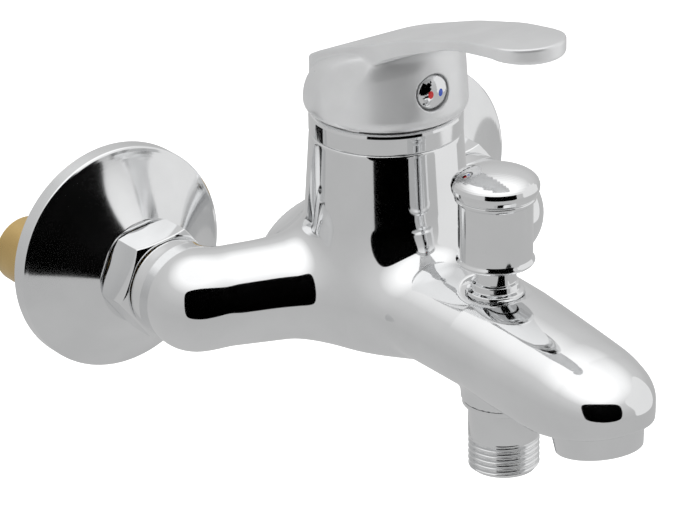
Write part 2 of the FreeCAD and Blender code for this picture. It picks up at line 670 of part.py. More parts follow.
def diverter_bonnet():
    """The gland screwed into the boss, whose neck guides the rod and the knob."""
    bore = ROD_R + RUN_GAP
    foot = BOSS_TOP_Z - 8.5
    groove = NECK_TOP_Z - 5.0
    return moved(lathe([(bore, foot), (CHAMBER_R, foot), (CHAMBER_R, BOSS_TOP_Z),
                        (CHAMBER_R + 0.6, BOSS_TOP_Z), (CHAMBER_R + 0.6, BOSS_TOP_Z + 1.6),
                        (NECK_R, BOSS_TOP_Z + 2.6), (NECK_R, NECK_TOP_Z), (bore, NECK_TOP_Z),
                        (bore, groove + 1.0), (bore + 1.7, groove + 1.0), (bore + 1.7, groove - 1.0),
                        (bore, groove - 1.0)]), y=DIVERTER_Y)


def bonnet_oring():
    """The rod's seal, in the neck's groove."""
    section = 0.85
    ring = Part.makeTorus(ROD_R + RUN_GAP + section, section)
    return moved(ring, y=DIVERTER_Y, z=NECK_TOP_Z - 5.0)


def diverter_knob():
    """The pull knob: domed top, brim and sleeve over the neck."""
    low, top = KNOB_BOTTOM_Z, KNOB_TOP_Z
    brim = top - 11.6
    inside = NECK_R + LOOSE_GAP
    roof = NECK_TOP_Z + 1.2
    return moved(lathe([(inside, low), (KNOB_R + 0.2, low), (KNOB_R + 0.8, low + 0.8),
                        (KNOB_R + 0.2, low + 1.8), (KNOB_R, low + 2.2), (KNOB_R, brim - 1.4),
                        (KNOB_R + 0.9, brim - 0.8), (KNOB_R + 0.4, brim), (KNOB_BRIM_R, brim + 0.6),
                        (KNOB_BRIM_R, brim + 3.6), (KNOB_BRIM_R - 1.2, brim + 6.2),
                        (KNOB_BRIM_R - 4.4, brim + 9.0), (KNOB_BRIM_R - 8.5, brim + 10.9), (0, top),
                        (0, roof + 6.0), (ROD_R, roof + 6.0), (ROD_R, roof), (inside, roof)]),
                 y=DIVERTER_Y)


def diverter_rod():
    """The rod from the knob to the valve disc."""
    rest = CHAMBER_FLOOR_Z + 1.4
    return moved(lathe([(0, rest - 0.6), (1.6, rest - 0.6), (1.6, rest + 3.0), (ROD_R, rest + 3.0),
                        (ROD_R, NECK_TOP_Z + 7.2), (0, NECK_TOP_Z + 7.2)]), y=DIVERTER_Y)


def diverter_disc():
    """The brass valve disc on the rod's foot."""
    rest = CHAMBER_FLOOR_Z + 1.4
    return moved(lathe([(1.6, rest), (VALVE_DISC_R, rest), (VALVE_DISC_R, rest + 1.6),
                        (4.4, rest + 2.2), (4.4, rest + 3.0), (1.6, rest + 3.0)]), y=DIVERTER_Y)


def diverter_seal():
    """The rubber face under the valve disc."""
    low = CHAMBER_FLOOR_Z + 0.05
    return moved(lathe([(1.9, low), (VALVE_DISC_R - 0.4, low), (VALVE_DISC_R - 0.4, low + 1.35),
                        (1.9, low + 1.35)]), y=DIVERTER_Y)


def diverter_spring():
    """The spring that returns the diverter to the bath."""
    low = CHAMBER_FLOOR_Z + 4.45
    high = BOSS_TOP_Z - 8.55
    return moved(coil(3.6, SPRING_WIRE / 2, low, high, 3.5), y=DIVERTER_Y)


# ---------------------------------------------------------------- outlets

def outlet_nipple():
    """The threaded shower outlet under the spout."""
    collar_low = OUTLET_TOP_Z - 1.6
    seat = OUTLET_BOTTOM_Z + 3.0 + CHECK_LENGTH
    top = CHAMBER_FLOOR_Z - 2.6
    return moved(lathe([(OUTLET_BORE_R, OUTLET_BOTTOM_Z), (OUTLET_R - 0.8, OUTLET_BOTTOM_Z),
                        (OUTLET_R, OUTLET_BOTTOM_Z + 0.8), (OUTLET_R, collar_low),
                        (OUTLET_COLLAR_R, collar_low), (OUTLET_COLLAR_R, OUTLET_TOP_Z),
                        (OUTLET_SCREW_R, OUTLET_TOP_Z), (OUTLET_SCREW_R, top), (OUTLET_BORE_R - 1.6, top),
                        (OUTLET_BORE_R - 1.6, seat), (OUTLET_BORE_R, seat)]), y=OUTLET_Y)


def check_levels():
    """Top and bottom of the non-return valve."""
    top = OUTLET_BOTTOM_Z + 3.0 + CHECK_LENGTH
    return top, top - CHECK_LENGTH


def check_valve_cage():
    """The plastic cage of the non-return valve, with its seat on top and guide below."""
    top, bottom = check_levels()
    inside = CHECK_R - 1.5
    cage = lathe([(inside, bottom + 1.4), (inside, top - 1.6), (3.8, top - 1.6), (3.8, top), (CHECK_R, top),
                  (CHECK_R, bottom), (1.35, bottom), (1.35, bottom + 1.4)])
    slots = [cylinder(1.3, bottom - 1, bottom + 2, 3.6 * math.cos(math.radians(60 * i)),
                      3.6 * math.sin(math.radians(60 * i))) for i in range(6)]
    return moved(cage.cut(slots[0].multiFuse(slots[1:])), y=OUTLET_Y)


def check_valve_poppet():
    """The disc and stem that close the non-return valve."""
    top, bottom = check_levels()
    seat = top - 1.65
    return moved(lathe([(0, bottom + 0.4), (1.25, bottom + 0.4), (1.25, seat - 1.6),
                        (CHECK_R - 2.2, seat - 1.6), (CHECK_R - 2.2, seat), (0, seat)]), y=OUTLET_Y)


def check_valve_spring():
    """The spring that holds the poppet up."""
    top, bottom = check_levels()
    return moved(coil(2.2, 0.25, bottom + 1.45, top - 3.3, 5), y=OUTLET_Y)


def aerator_housing():
    """The bright ring screwed into the spout's end."""
    start = AERATOR_SEAT - AERATOR_SOCKET_DEPTH + 2.2
    ring = along_aerator(AERATOR_R, AERATOR_SEAT, AERATOR_SEAT + AERATOR_LENGTH)
    thread = along_aerator(AERATOR_SOCKET_R, start, AERATOR_SEAT)
    inside = along_aerator(AERATOR_SOCKET_R - 1.4, start - 1, AERATOR_SEAT + AERATOR_LENGTH - 1.4)
    mouth = along_aerator(AERATOR_SOCKET_R - 2.2, start, AERATOR_SEAT + AERATOR_LENGTH + 1)
    return union(ring, [thread]).cut(inside.fuse(mouth))


def aerator_insert():
    """The plastic insert with the rings of jets."""
    start = AERATOR_SEAT - AERATOR_SOCKET_DEPTH + 2.2
    end = AERATOR_SEAT + AERATOR_LENGTH - 1.4
    insert = along_aerator(AERATOR_SOCKET_R - 1.5, start, end)
    origin, direction = aerator_axis()
    across = vec(1, 0, 0)
    other = direction.cross(across)
    holes = []
    for radius, count in ((0.0, 1), (3.0, 6), (6.0, 12)):
        for i in range(count):
            angle = 2 * math.pi * i / count
            foot = across * (radius * math.cos(angle)) + other * (radius * math.sin(angle))
            holes.append(Part.makeCylinder(1.0, end - start + 2, origin + foot + direction * (start - 1),
                                           direction))
    return insert.cut(holes[0].multiFuse(holes[1:]))


def aerator_washer():
    """The washer that seals the aerator in the spout."""
    start = AERATOR_SEAT - AERATOR_SOCKET_DEPTH
    ring = along_aerator(AERATOR_SOCKET_R - 0.2, start, start + 2.15)
    return ring.cut(along_aerator(AERATOR_SOCKET_R - 3.4, start - 1, start + 3))


def main():
    """Build every piece and write it as its own STEP file."""
    os.makedirs("parts", exist_ok=True)
    pieces = {maker.__name__: maker() for maker in (
        body, port_gasket, cartridge_base, fixed_disc, moving_disc, disc_carrier, cartridge_housing,
        rotor, pivot_pin, stem, clamp_nut, cover_ring, lever_handle, grub_screw, indicator_plug,
        diverter_bonnet, bonnet_oring, diverter_knob, diverter_rod, diverter_disc, diverter_seal,
        diverter_spring, outlet_nipple, check_valve_cage, check_valve_poppet, check_valve_spring,
        aerator_housing, aerator_insert, aerator_washer)}
    for letter, side in SIDES:
        for maker in (eccentric_union, rosette, union_nut, inlet_tailpiece, inlet_washer, inlet_strainer):
            pieces[maker.__name__ + "_" + letter] = maker(side)
    for name, shape in pieces.items():
        solids = shape.Solids
        print(name, len(solids), "valid" if shape.isValid() else "NOT VALID", round(shape.Volume, 1))
        whole = solids[0] if len(solids) == 1 else shape
        whole.exportStep("parts/" + name + ".step")


main()
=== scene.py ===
"""Looks of a wall mounted bath and shower mixer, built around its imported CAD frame.

Cast parts are smooth implicit solids turned into meshes, turned parts are lathe meshes with
exact normals, and every piece has a procedural finish. Lengths inside the classes are in
millimetres, and meshes are written in metres.
"""

import logging
import math
from dataclasses import dataclass, field
from enum import Enum
from typing import Callable, Sequence

import bpy
import numpy as np
from mathutils import Matrix, Vector


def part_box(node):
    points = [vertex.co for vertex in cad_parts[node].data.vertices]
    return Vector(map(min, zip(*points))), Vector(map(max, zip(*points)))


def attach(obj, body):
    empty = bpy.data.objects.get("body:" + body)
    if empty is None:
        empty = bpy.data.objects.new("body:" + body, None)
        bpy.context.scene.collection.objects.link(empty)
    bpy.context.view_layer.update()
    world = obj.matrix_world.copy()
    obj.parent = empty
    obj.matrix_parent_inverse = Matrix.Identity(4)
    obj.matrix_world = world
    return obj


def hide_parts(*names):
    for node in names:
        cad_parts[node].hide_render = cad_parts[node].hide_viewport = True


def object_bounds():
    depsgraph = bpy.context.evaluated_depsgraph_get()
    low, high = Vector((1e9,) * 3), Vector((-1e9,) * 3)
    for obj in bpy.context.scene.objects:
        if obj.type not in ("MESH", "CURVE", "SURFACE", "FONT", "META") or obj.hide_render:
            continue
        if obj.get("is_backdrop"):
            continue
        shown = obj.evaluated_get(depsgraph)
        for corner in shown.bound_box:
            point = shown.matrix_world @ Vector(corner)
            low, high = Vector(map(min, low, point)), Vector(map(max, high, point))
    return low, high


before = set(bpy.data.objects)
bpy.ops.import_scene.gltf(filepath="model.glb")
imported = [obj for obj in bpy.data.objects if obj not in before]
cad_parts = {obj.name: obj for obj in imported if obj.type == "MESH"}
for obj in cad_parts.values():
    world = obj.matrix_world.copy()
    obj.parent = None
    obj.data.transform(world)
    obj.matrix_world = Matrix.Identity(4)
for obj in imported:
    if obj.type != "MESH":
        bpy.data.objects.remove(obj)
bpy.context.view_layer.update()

LOG = logging.getLogger("bath_mixer")
MM = 0.001
OUTLET_TOP = -18.0      # where the nipple's collar meets the casting
RECESS_FLOOR = 14.0     # floor of the round recess at the diverter's neck
JET_LEAN = 9.0          # degrees that the aerator leans forward
JET_SEAT = 8.5          # from the aerator's axis origin to the casting's seat
INSERT_MIDDLE = 9.9     # from the same origin to the middle of the insert
Field = Callable[[np.ndarray], np.ndarray]
Profile = Sequence[tuple[float, ...]]


# ------------------------------------------------------------------ places from the frame

def box_mm(node: str) -> tuple[np.ndarray, np.ndarray]:
    """Give a CAD node's lowest and highest corners.

    Args:
        node: The node's name.

    Returns:
        The two corners in millimetres.
    """
    low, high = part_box(node)
    return np.array(low) / MM, np.array(high) / MM


def middle(node: str) -> np.ndarray:
    """Give the centre of a CAD node's box, in millimetres."""
    low, high = box_mm(node)
    return (low + high) / 2


def half_width(node: str) -> float:
    """Give half of a CAD node's width along X, in millimetres."""
    low, high = box_mm(node)
    return float(high[0] - low[0]) / 2


# ------------------------------------------------------------------ implicit solids

def smooth_min(first: np.ndarray, second: np.ndarray, width: float) -> np.ndarray:
    """Join two fields with a fillet.

    Args:
        first: Distances to the first solid.
        second: Distances to the second solid.
        width: Width of the blend.

    Returns:
        Distances to the blended solid.
    """
    share = np.clip(0.5 + 0.5 * (second - first) / width, 0.0, 1.0)
    return second + (first - second) * share - width * share * (1.0 - share)


def smooth_max(first: np.ndarray, second: np.ndarray, width: float) -> np.ndarray:
    """Keep what two fields share, with a rounded edge of the given width."""
    return -smooth_min(-first, -second, width)


def cone_capsule(points: np.ndarray, start: Sequence[float], end: Sequence[float],
                 start_radius: float, end_radius: float) -> np.ndarray:
    """Distance to a rod with round ends whose radius changes along it.

    Args:
        points: Places to measure, one per row.
        start: Middle of the first end.
        end: Middle of the second end.
        start_radius: Radius at the first end.
        end_radius: Radius at the second end.

    Returns:
        One distance per point.
    """
    origin, along = np.array(start, float), np.array(end, float) - np.array(start, float)
    share = np.clip((points - origin) @ along / (along @ along), 0.0, 1.0)
    nearest = origin + share[:, None] * along
    return np.linalg.norm(points - nearest, axis=1) - (start_radius + (end_radius - start_radius) * share)


def round_bar(points: np.ndarray, centre: Sequence[float], axis: Sequence[float],
              radius: float) -> np.ndarray:
    """Distance to an endless round bar.

    Args:
        points: Places to measure, one per row.
        centre: A point on the bar's axis.
        axis: The axis as a unit vector.
        radius: The bar's radius.

    Returns:
        One distance per point.
    """
    offset = points - np.array(centre, float)
    direction = np.array(axis, float)
    across = offset - (offset @ direction)[:, None] * direction
    return np.linalg.norm(across, axis=1) - radius


def beyond(points: np.ndarray, centre: Sequence[float], axis: Sequence[float]) -> np.ndarray:
    """Signed distance past a plane, positive on the side that the axis points to."""
    return (points - np.array(centre, float)) @ np.array(axis, float)


def slope(solid: Field, points: np.ndarray) -> np.ndarray:
    """Give the field's gradient by central differences.

    Args:
        solid: The field.
        points: Places to measure, one per row.

    Returns:
        One gradient vector per point.
    """
    reach = 0.02
    parts = []
    for axis in range(3):
        shift = np.zeros(3)
        shift[axis] = reach
        parts.append((solid(points + shift) - solid(points - shift)) / (2 * reach))
    return np.stack(parts, axis=1)


def surface_net(solid: Field, low: Sequence[float], high: Sequence[float],
                step: float) -> tuple[np.ndarray, np.ndarray]:
    """Turn a field's zero level into a mesh of four-sided faces.

    Args:
        solid: The field, negative inside.
        low: Lowest corner of the block that is searched.
        high: Highest corner of the block.
        step: Spacing of the search grid.

    Returns:
        Vertices, and faces as vertex numbers.
    """
    axes = [start + step * np.arange(int(math.ceil((end - start) / step)) + 1)
            for start, end in zip(low, high)]
    counts = [len(axis) for axis in axes]
    values = np.empty(counts)
    for number, x in enumerate(axes[0]):
        layer = np.stack(np.meshgrid([x], axes[1], axes[2], indexing="ij"), -1).reshape(-1, 3)
        values[number] = solid(layer).reshape(counts[1:])
    inside = values < 0
    total = sum(inside[i:counts[0] - 1 + i, j:counts[1] - 1 + j, k:counts[2] - 1 + k].astype(np.uint8)
                for i in (0, 1) for j in (0, 1) for k in (0, 1))
    active = (total > 0) & (total < 8)
    cells = np.argwhere(active)
    numbers = np.full(active.shape, -1)
    numbers[active] = np.arange(len(cells))
    sums, hits = np.zeros((len(cells), 3)), np.zeros(len(cells))
    for axis in range(3):
        for du in (0, 1):
            for dv in (0, 1):
                start = cells.copy()
                start[:, (axis + 1) % 3] += du
                start[:, (axis + 2) % 3] += dv
                end = start.copy()
                end[:, axis] += 1
                before, after = values[tuple(start.T)], values[tuple(end.T)]
                crossed = (before < 0) != (after < 0)
                place = start.astype(float)
                place[crossed, axis] += (before / np.where(crossed, before - after, 1.0))[crossed]
                sums[crossed] += place[crossed]
                hits[crossed] += 1
    vertices = np.array(low, float) + step * sums / hits[:, None]
    quads = []
    for axis in range(3):
        u, v = (axis + 1) % 3, (axis + 2) % 3
        near, far = [slice(None)] * 3, [slice(None)] * 3
        near[axis], far[axis] = slice(0, -1), slice(1, None)
        edges = np.argwhere(inside[tuple(near)] != inside[tuple(far)])
        edges = edges[(edges[:, u] > 0) & (edges[:, u] < counts[u] - 1)
                      & (edges[:, v] > 0) & (edges[:, v] < counts[v] - 1)]
        corners = []
        for du, dv in ((-1, -1), (0, -1), (0, 0), (-1, 0)):
            cell = edges.copy()
            cell[:, u] += du
            cell[:, v] += dv
            corners.append(numbers[tuple(cell.T)])
        quad = np.stack(corners, axis=1)
        leaving = inside[tuple(edges.T)]
        quad[~leaving] = quad[~leaving][:, ::-1]
        quads.append(quad)
    return vertices, np.concatenate(quads)


def settle(solid: Field, vertices: np.ndarray, quads: np.ndarray, step: float,
           rounds: int = 5) -> tuple[np.ndarray, np.ndarray]:
    """Even out a mesh along the surface and bring every vertex onto the field's zero level.

    Args:
        solid: The field.
        vertices: The mesh's vertices.
        quads: The mesh's faces.
        step: Spacing of the grid that the mesh came from.
        rounds: How often both moves are made.

    Returns:
        The moved vertices and their outward normals.
    """
    starts, ends = quads.ravel(), np.roll(quads, -1, axis=1).ravel()
    degree = np.bincount(starts, minlength=len(vertices)) + np.bincount(ends, minlength=len(vertices))
    for _ in range(rounds):
        mean = np.stack([np.bincount(starts, vertices[ends, i], len(vertices))
                         + np.bincount(ends, vertices[starts, i], len(vertices)) for i in range(3)], 1)
        drift = mean / degree[:, None] - vertices
        gradient = slope(solid, vertices)
        normal = gradient / (np.linalg.norm(gradient, axis=1, keepdims=True) + 1e-9)
        drift -= normal * np.sum(drift * normal, axis=1, keepdims=True)
        vertices = vertices + 0.5 * drift
        for _ in range(2):
            gradient = slope(solid, vertices)
            size = np.maximum(np.linalg.norm(gradient, axis=1), 0.3)
            move = np.clip(solid(vertices) / size, -0.6 * step, 0.6 * step)
            vertices = vertices - gradient / size[:, None] * move[:, None]
    gradient = slope(solid, vertices)
    return vertices, gradient / (np.linalg.norm(gradient, axis=1, keepdims=True) + 1e-9)


# ------------------------------------------------------------------ meshes

def add_piece(name: str, vertices: np.ndarray, faces: Sequence[Sequence[int]]) -> bpy.types.Object:
    """Make an object from millimetre vertices.

    Args:
        name: The object's name.
        vertices: Vertices in millimetres.
        faces: Faces as vertex numbers.

    Returns:
        The new object, smooth shaded.
    """
    mesh = bpy.data.meshes.new(name)
    mesh.from_pydata((np.asarray(vertices) * MM).tolist(), [], [list(face) for face in faces])
    mesh.polygons.foreach_set("use_smooth", [True] * len(mesh.polygons))
    mesh.update()
    piece = bpy.data.objects.new(name, mesh)
    bpy.context.scene.collection.objects.link(piece)
    return piece


def cast_piece(name: str, solid: Field, low: Sequence[float], high: Sequence[float],
               step: float) -> bpy.types.Object:
    """Make an object from an implicit solid, with the solid's own normals.

    Args:
        name: The object's name.
        solid: The field, negative inside.
        low: Lowest corner of the block that holds the solid.
        high: Highest corner of the block.
        step: Spacing of the grid.

    Returns:
        The new object.
    """
    vertices, quads = surface_net(solid, low, high, step)
    vertices, normals = settle(solid, vertices, quads, step)
    piece = add_piece(name, vertices, quads.tolist())
    piece.data.normals_split_custom_set_from_vertices(normals.tolist())
    return piece


def rounded(profile: Profile, steps: int = 5) -> tuple[list[tuple[float, float]], list, list]:
    """Round an outline's corners and find its exact normals.

    Args:
        profile: Points as (radius, height) or (radius, height, fillet), in order.
        steps: Segments in each fillet.

    Returns:
        The outline's points, and for each point the normals before and after it.
    """
    points = [np.array(entry[:2], float) for entry in profile]
    fillets = [entry[2] if len(entry) > 2 else 0.0 for entry in profile]
    outline: list[tuple[float, float]] = []
    before: list[np.ndarray] = []
    after: list[np.ndarray] = []

    def side(a: np.ndarray, b: np.ndarray) -> np.ndarray:
        """Give the outline's right-hand unit normal between two points."""
        along = (b - a) / (np.linalg.norm(b - a) + 1e-12)
        return np.array([along[1], -along[0]])

    last = len(points) - 1
    for number, corner in enumerate(points):
        enter = side(points[number - 1], corner) if number else side(corner, points[1])
        leave = side(corner, points[number + 1]) if number < last else enter
        if fillets[number] <= 0 or number in (0, last) or float(enter @ leave) > 0.9995:
            outline.append(tuple(corner))
            before.append(enter)
            after.append(leave)
            continue
        back = points[number - 1] - corner
        ahead = points[number + 1] - corner
        reach_back, reach_ahead = np.linalg.norm(back), np.linalg.norm(ahead)
        turn = math.acos(float(np.clip(enter @ leave, -1, 1)))
        cut = min(fillets[number] * math.tan(turn / 2), 0.48 * reach_back, 0.48 * reach_ahead)
        start = corner + back / reach_back * cut
        radius = cut / math.tan(turn / 2)
        bulge = 1.0 if float(enter @ (points[number + 1] - corner)) < 0 else -1.0
        centre = start - enter * radius * bulge
        for i in range(steps + 1):
            share = i / steps
            normal = enter * math.sin((1 - share) * turn) + leave * math.sin(share * turn)
            normal /= np.linalg.norm(normal)
            outline.append(tuple(centre + normal * radius * bulge))
            before.append(normal)
            after.append(normal)
    return outline, before, after


def turned_piece(name: str, profile: Profile, place: Matrix, segments: int = 128,
                 steps: int = 5) -> bpy.types.Object:
    """Turn an outline about its own Z axis and stand it at a place.

    Args:
        name: The object's name.
        profile: Points as (radius, height) or (radius, height, fillet), going round the metal
            counterclockwise as seen with the radius to the right.
        place: Turns and shifts the piece, in millimetres.
        segments: Faces around.
        steps: Segments in each fillet.

    Returns:
        The new object, with exact normals.
    """
    closed = profile[0][0] > 0 or profile[-1][0] > 0
    entries = list(profile)
    if closed:
        start = ((profile[0][0] + profile[1][0]) / 2, (profile[0][1] + profile[1][1]) / 2)
        entries = [start] + entries[1:] + [entries[0], start]
    outline, before, after = rounded(entries, steps)
    if closed:
        outline, before, after = outline[:-1], before[:-1], after[:-1]
    angles = [2 * math.pi * i / segments for i in range(segments)]
    vertices: list[tuple[float, float, float]] = []
    rings: list[list[int]] = []
    for radius, height in outline:
        if radius < 1e-6:
            rings.append([len(vertices)] * segments)
            vertices.append((0.0, 0.0, height))
            continue
        rings.append(list(range(len(vertices), len(vertices) + segments)))
        vertices.extend((radius * math.cos(a), radius * math.sin(a), height) for a in angles)
    faces: list[list[int]] = []
    normals: list[tuple[float, float, float]] = []
    count = len(outline) if closed else len(outline) - 1
    for i in range(count):
        j = (i + 1) % len(outline)
        for k in range(segments):
            m = (k + 1) % segments
            loop = [(rings[i][k], after[i], angles[k]), (rings[i][m], after[i], angles[m]),
                    (rings[j][m], before[j], angles[m]), (rings[j][k], before[j], angles[k])]
            kept = [entry for n, entry in enumerate(loop) if entry[0] != loop[n - 1][0]]
            faces.append([entry[0] for entry in kept])
            normals.extend((n[0] * math.cos(a), n[0] * math.sin(a), n[1]) for _, n, a in kept)
    turn = np.array(place.to_3x3())
    shift = np.array(place.to_translation())
    piece = add_piece(name, np.array(vertices) @ turn.T + shift, faces)
    piece.data.normals_split_custom_set((np.array(normals) @ turn.T).tolist())
    return piece


def upright(x: float, y: float) -> Matrix:
    """Place a turned piece on an upright axis."""
    return Matrix.Translation((x, y, 0.0))


def from_wall(x: float) -> Matrix:
    """Place a turned piece so that its height becomes distance in front of the wall."""
    return Matrix.Translation((x, 0.0, 0.0)) @ Matrix.Rotation(math.radians(90), 4, "X")


# ------------------------------------------------------------------ finishes

class Grain(Enum):
    """How a finish's fine marks lie."""

    EVEN = (1.0, 1.0, 1.0)
    LEVEL = (0.05, 0.05, 1.0)


@dataclass(frozen=True)
class Finish:
    """A surface finish made of one shader with noise-driven colour, roughness and relief."""

    name: str
    light: tuple[float, float, float]
    dark: tuple[float, float, float]
    metallic: float
    rough_low: float
    rough_high: float
    patch_scale: float = 60.0
    grain: Grain = Grain.EVEN
    grain_scale: float = 2500.0
    relief: float = 0.02
    relief_depth: float = 0.00002
    specular: float = 0.5
    coat: float = 0.0

    def build(self) -> bpy.types.Material:
        """Make the finish's material.

        Returns:
            The new material.
        """
        material = bpy.data.materials.new(self.name)
        material.use_nodes = True
        tree = material.node_tree
        shader = tree.nodes["Principled BSDF"]
        shader.inputs["Metallic"].default_value = self.metallic
        shader.inputs["Specular IOR Level"].default_value = self.specular
        shader.inputs["Coat Weight"].default_value = self.coat
        place = tree.nodes.new("ShaderNodeTexCoord")
        patches = tree.nodes.new("ShaderNodeTexNoise")
        patches.inputs["Scale"].default_value = self.patch_scale
        patches.inputs["Detail"].default_value = 5.0
        stretch = tree.nodes.new("ShaderNodeMapping")
        stretch.inputs["Scale"].default_value = self.grain.value
        marks = tree.nodes.new("ShaderNodeTexNoise")
        marks.inputs["Scale"].default_value = self.grain_scale
        marks.inputs["Detail"].default_value = 3.0
        tint = tree.nodes.new("ShaderNodeValToRGB")
        tint.color_ramp.elements[0].position = 0.35
        tint.color_ramp.elements[0].color = (*self.dark, 1.0)
        tint.color_ramp.elements[1].position = 0.65
        tint.color_ramp.elements[1].color = (*self.light, 1.0)
        blend = tree.nodes.new("ShaderNodeMath")
        blend.operation = "MULTIPLY_ADD"
        blend.inputs[1].default_value = 0.5
        rough = tree.nodes.new("ShaderNodeMapRange")
        rough.inputs["From Min"].default_value = 0.35
        rough.inputs["From Max"].default_value = 1.1
        rough.inputs["To Min"].default_value = self.rough_low
        rough.inputs["To Max"].default_value = self.rough_high
        bump = tree.nodes.new("ShaderNodeBump")
        bump.inputs["Strength"].default_value = self.relief
        bump.inputs["Distance"].default_value = self.relief_depth
        link = tree.links.new
        link(place.outputs["Object"], patches.inputs["Vector"])
        link(place.outputs["Object"], stretch.inputs["Vector"])
        link(stretch.outputs["Vector"], marks.inputs["Vector"])
        link(patches.outputs["Fac"], tint.inputs["Fac"])
        link(tint.outputs["Color"], shader.inputs["Base Color"])
        link(marks.outputs["Fac"], blend.inputs[0])
        link(patches.outputs["Fac"], blend.inputs[2])
        link(blend.outputs["Value"], rough.inputs["Value"])
        link(rough.outputs["Result"], shader.inputs["Roughness"])
        link(marks.outputs["Fac"], bump.inputs["Height"])
        link(bump.outputs["Normal"], shader.inputs["Normal"])
        return material


@dataclass
class FinishShelf:
    """Every finish of the tap, made once."""

    chrome: bpy.types.Material = field(init=False)
    satin: bpy.types.Material = field(init=False)
    cover: bpy.types.Material = field(init=False)
    brass: bpy.types.Material = field(init=False)
    steel: bpy.types.Material = field(init=False)
    rubber: bpy.types.Material = field(init=False)
    acetal: bpy.types.Material = field(init=False)
    alumina: bpy.types.Material = field(init=False)
    hot: bpy.types.Material = field(init=False)
    cold: bpy.types.Material = field(init=False)

    def __post_init__(self) -> None:
        """Make the materials."""
        self.chrome = Finish("bright_chrome", (0.86, 0.865, 0.87), (0.82, 0.825, 0.83), 1.0,
                             0.03, 0.075, relief=0.01).build()
        self.satin = Finish("satin_chrome", (0.80, 0.805, 0.81), (0.74, 0.745, 0.75), 0.68,
                            0.26, 0.36, grain=Grain.LEVEL, grain_scale=3500.0, relief=0.08).build()
        self.cover = Finish("spun_chrome", (0.84, 0.845, 0.85), (0.79, 0.795, 0.80), 1.0,
                            0.06, 0.13, relief=0.03).build()
        self.brass = Finish("machined_brass", (0.72, 0.52, 0.22), (0.58, 0.40, 0.16), 1.0,
                            0.22, 0.38, grain=Grain.LEVEL, relief=0.15).build()
        self.steel = Finish("stainless_steel", (0.60, 0.60, 0.61), (0.48, 0.48, 0.49), 1.0,
                            0.20, 0.34, relief=0.08).build()
        self.rubber = Finish("seal_rubber", (0.035, 0.035, 0.038), (0.020, 0.020, 0.022), 0.0,
                             0.55, 0.80, relief=0.25).build()
        self.acetal = Finish("valve_acetal", (0.78, 0.78, 0.74), (0.70, 0.70, 0.66), 0.0,
                             0.32, 0.48, relief=0.12).build()
        self.alumina = Finish("lapped_alumina", (0.90, 0.88, 0.82), (0.84, 0.82, 0.76), 0.0,
                              0.08, 0.16, relief=0.03).build()
        self.hot = Finish("hot_enamel", (0.55, 0.02, 0.02), (0.40, 0.01, 0.01), 0.0,
                          0.12, 0.25, relief=0.02, coat=0.5).build()
        self.cold = Finish("cold_enamel", (0.02, 0.08, 0.50), (0.01, 0.05, 0.36), 0.0,
                           0.12, 0.25, relief=0.02, coat=0.5).build()


def dress(piece: bpy.types.Object, material: bpy.types.Material) -> None:
    """Give an object one material."""
    piece.data.materials.clear()
    piece.data.materials.append(material)


def stand_in(piece: bpy.types.Object, material: bpy.types.Material, body: str, node: str) -> None:
    """Dress a piece, tie it to its body and let it show in place of a CAD node.

    Args:
        piece: The finished piece.
        material: Its finish.
        body: The CAD body that it moves with.
        node: The CAD node that it replaces.
    """
    dress(piece, material)
    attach(piece, body)
    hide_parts(node)
    LOG.info("%s: %d faces, moves with %s", piece.name, len(piece.data.polygons), body)


# ------------------------------------------------------------------ the casting

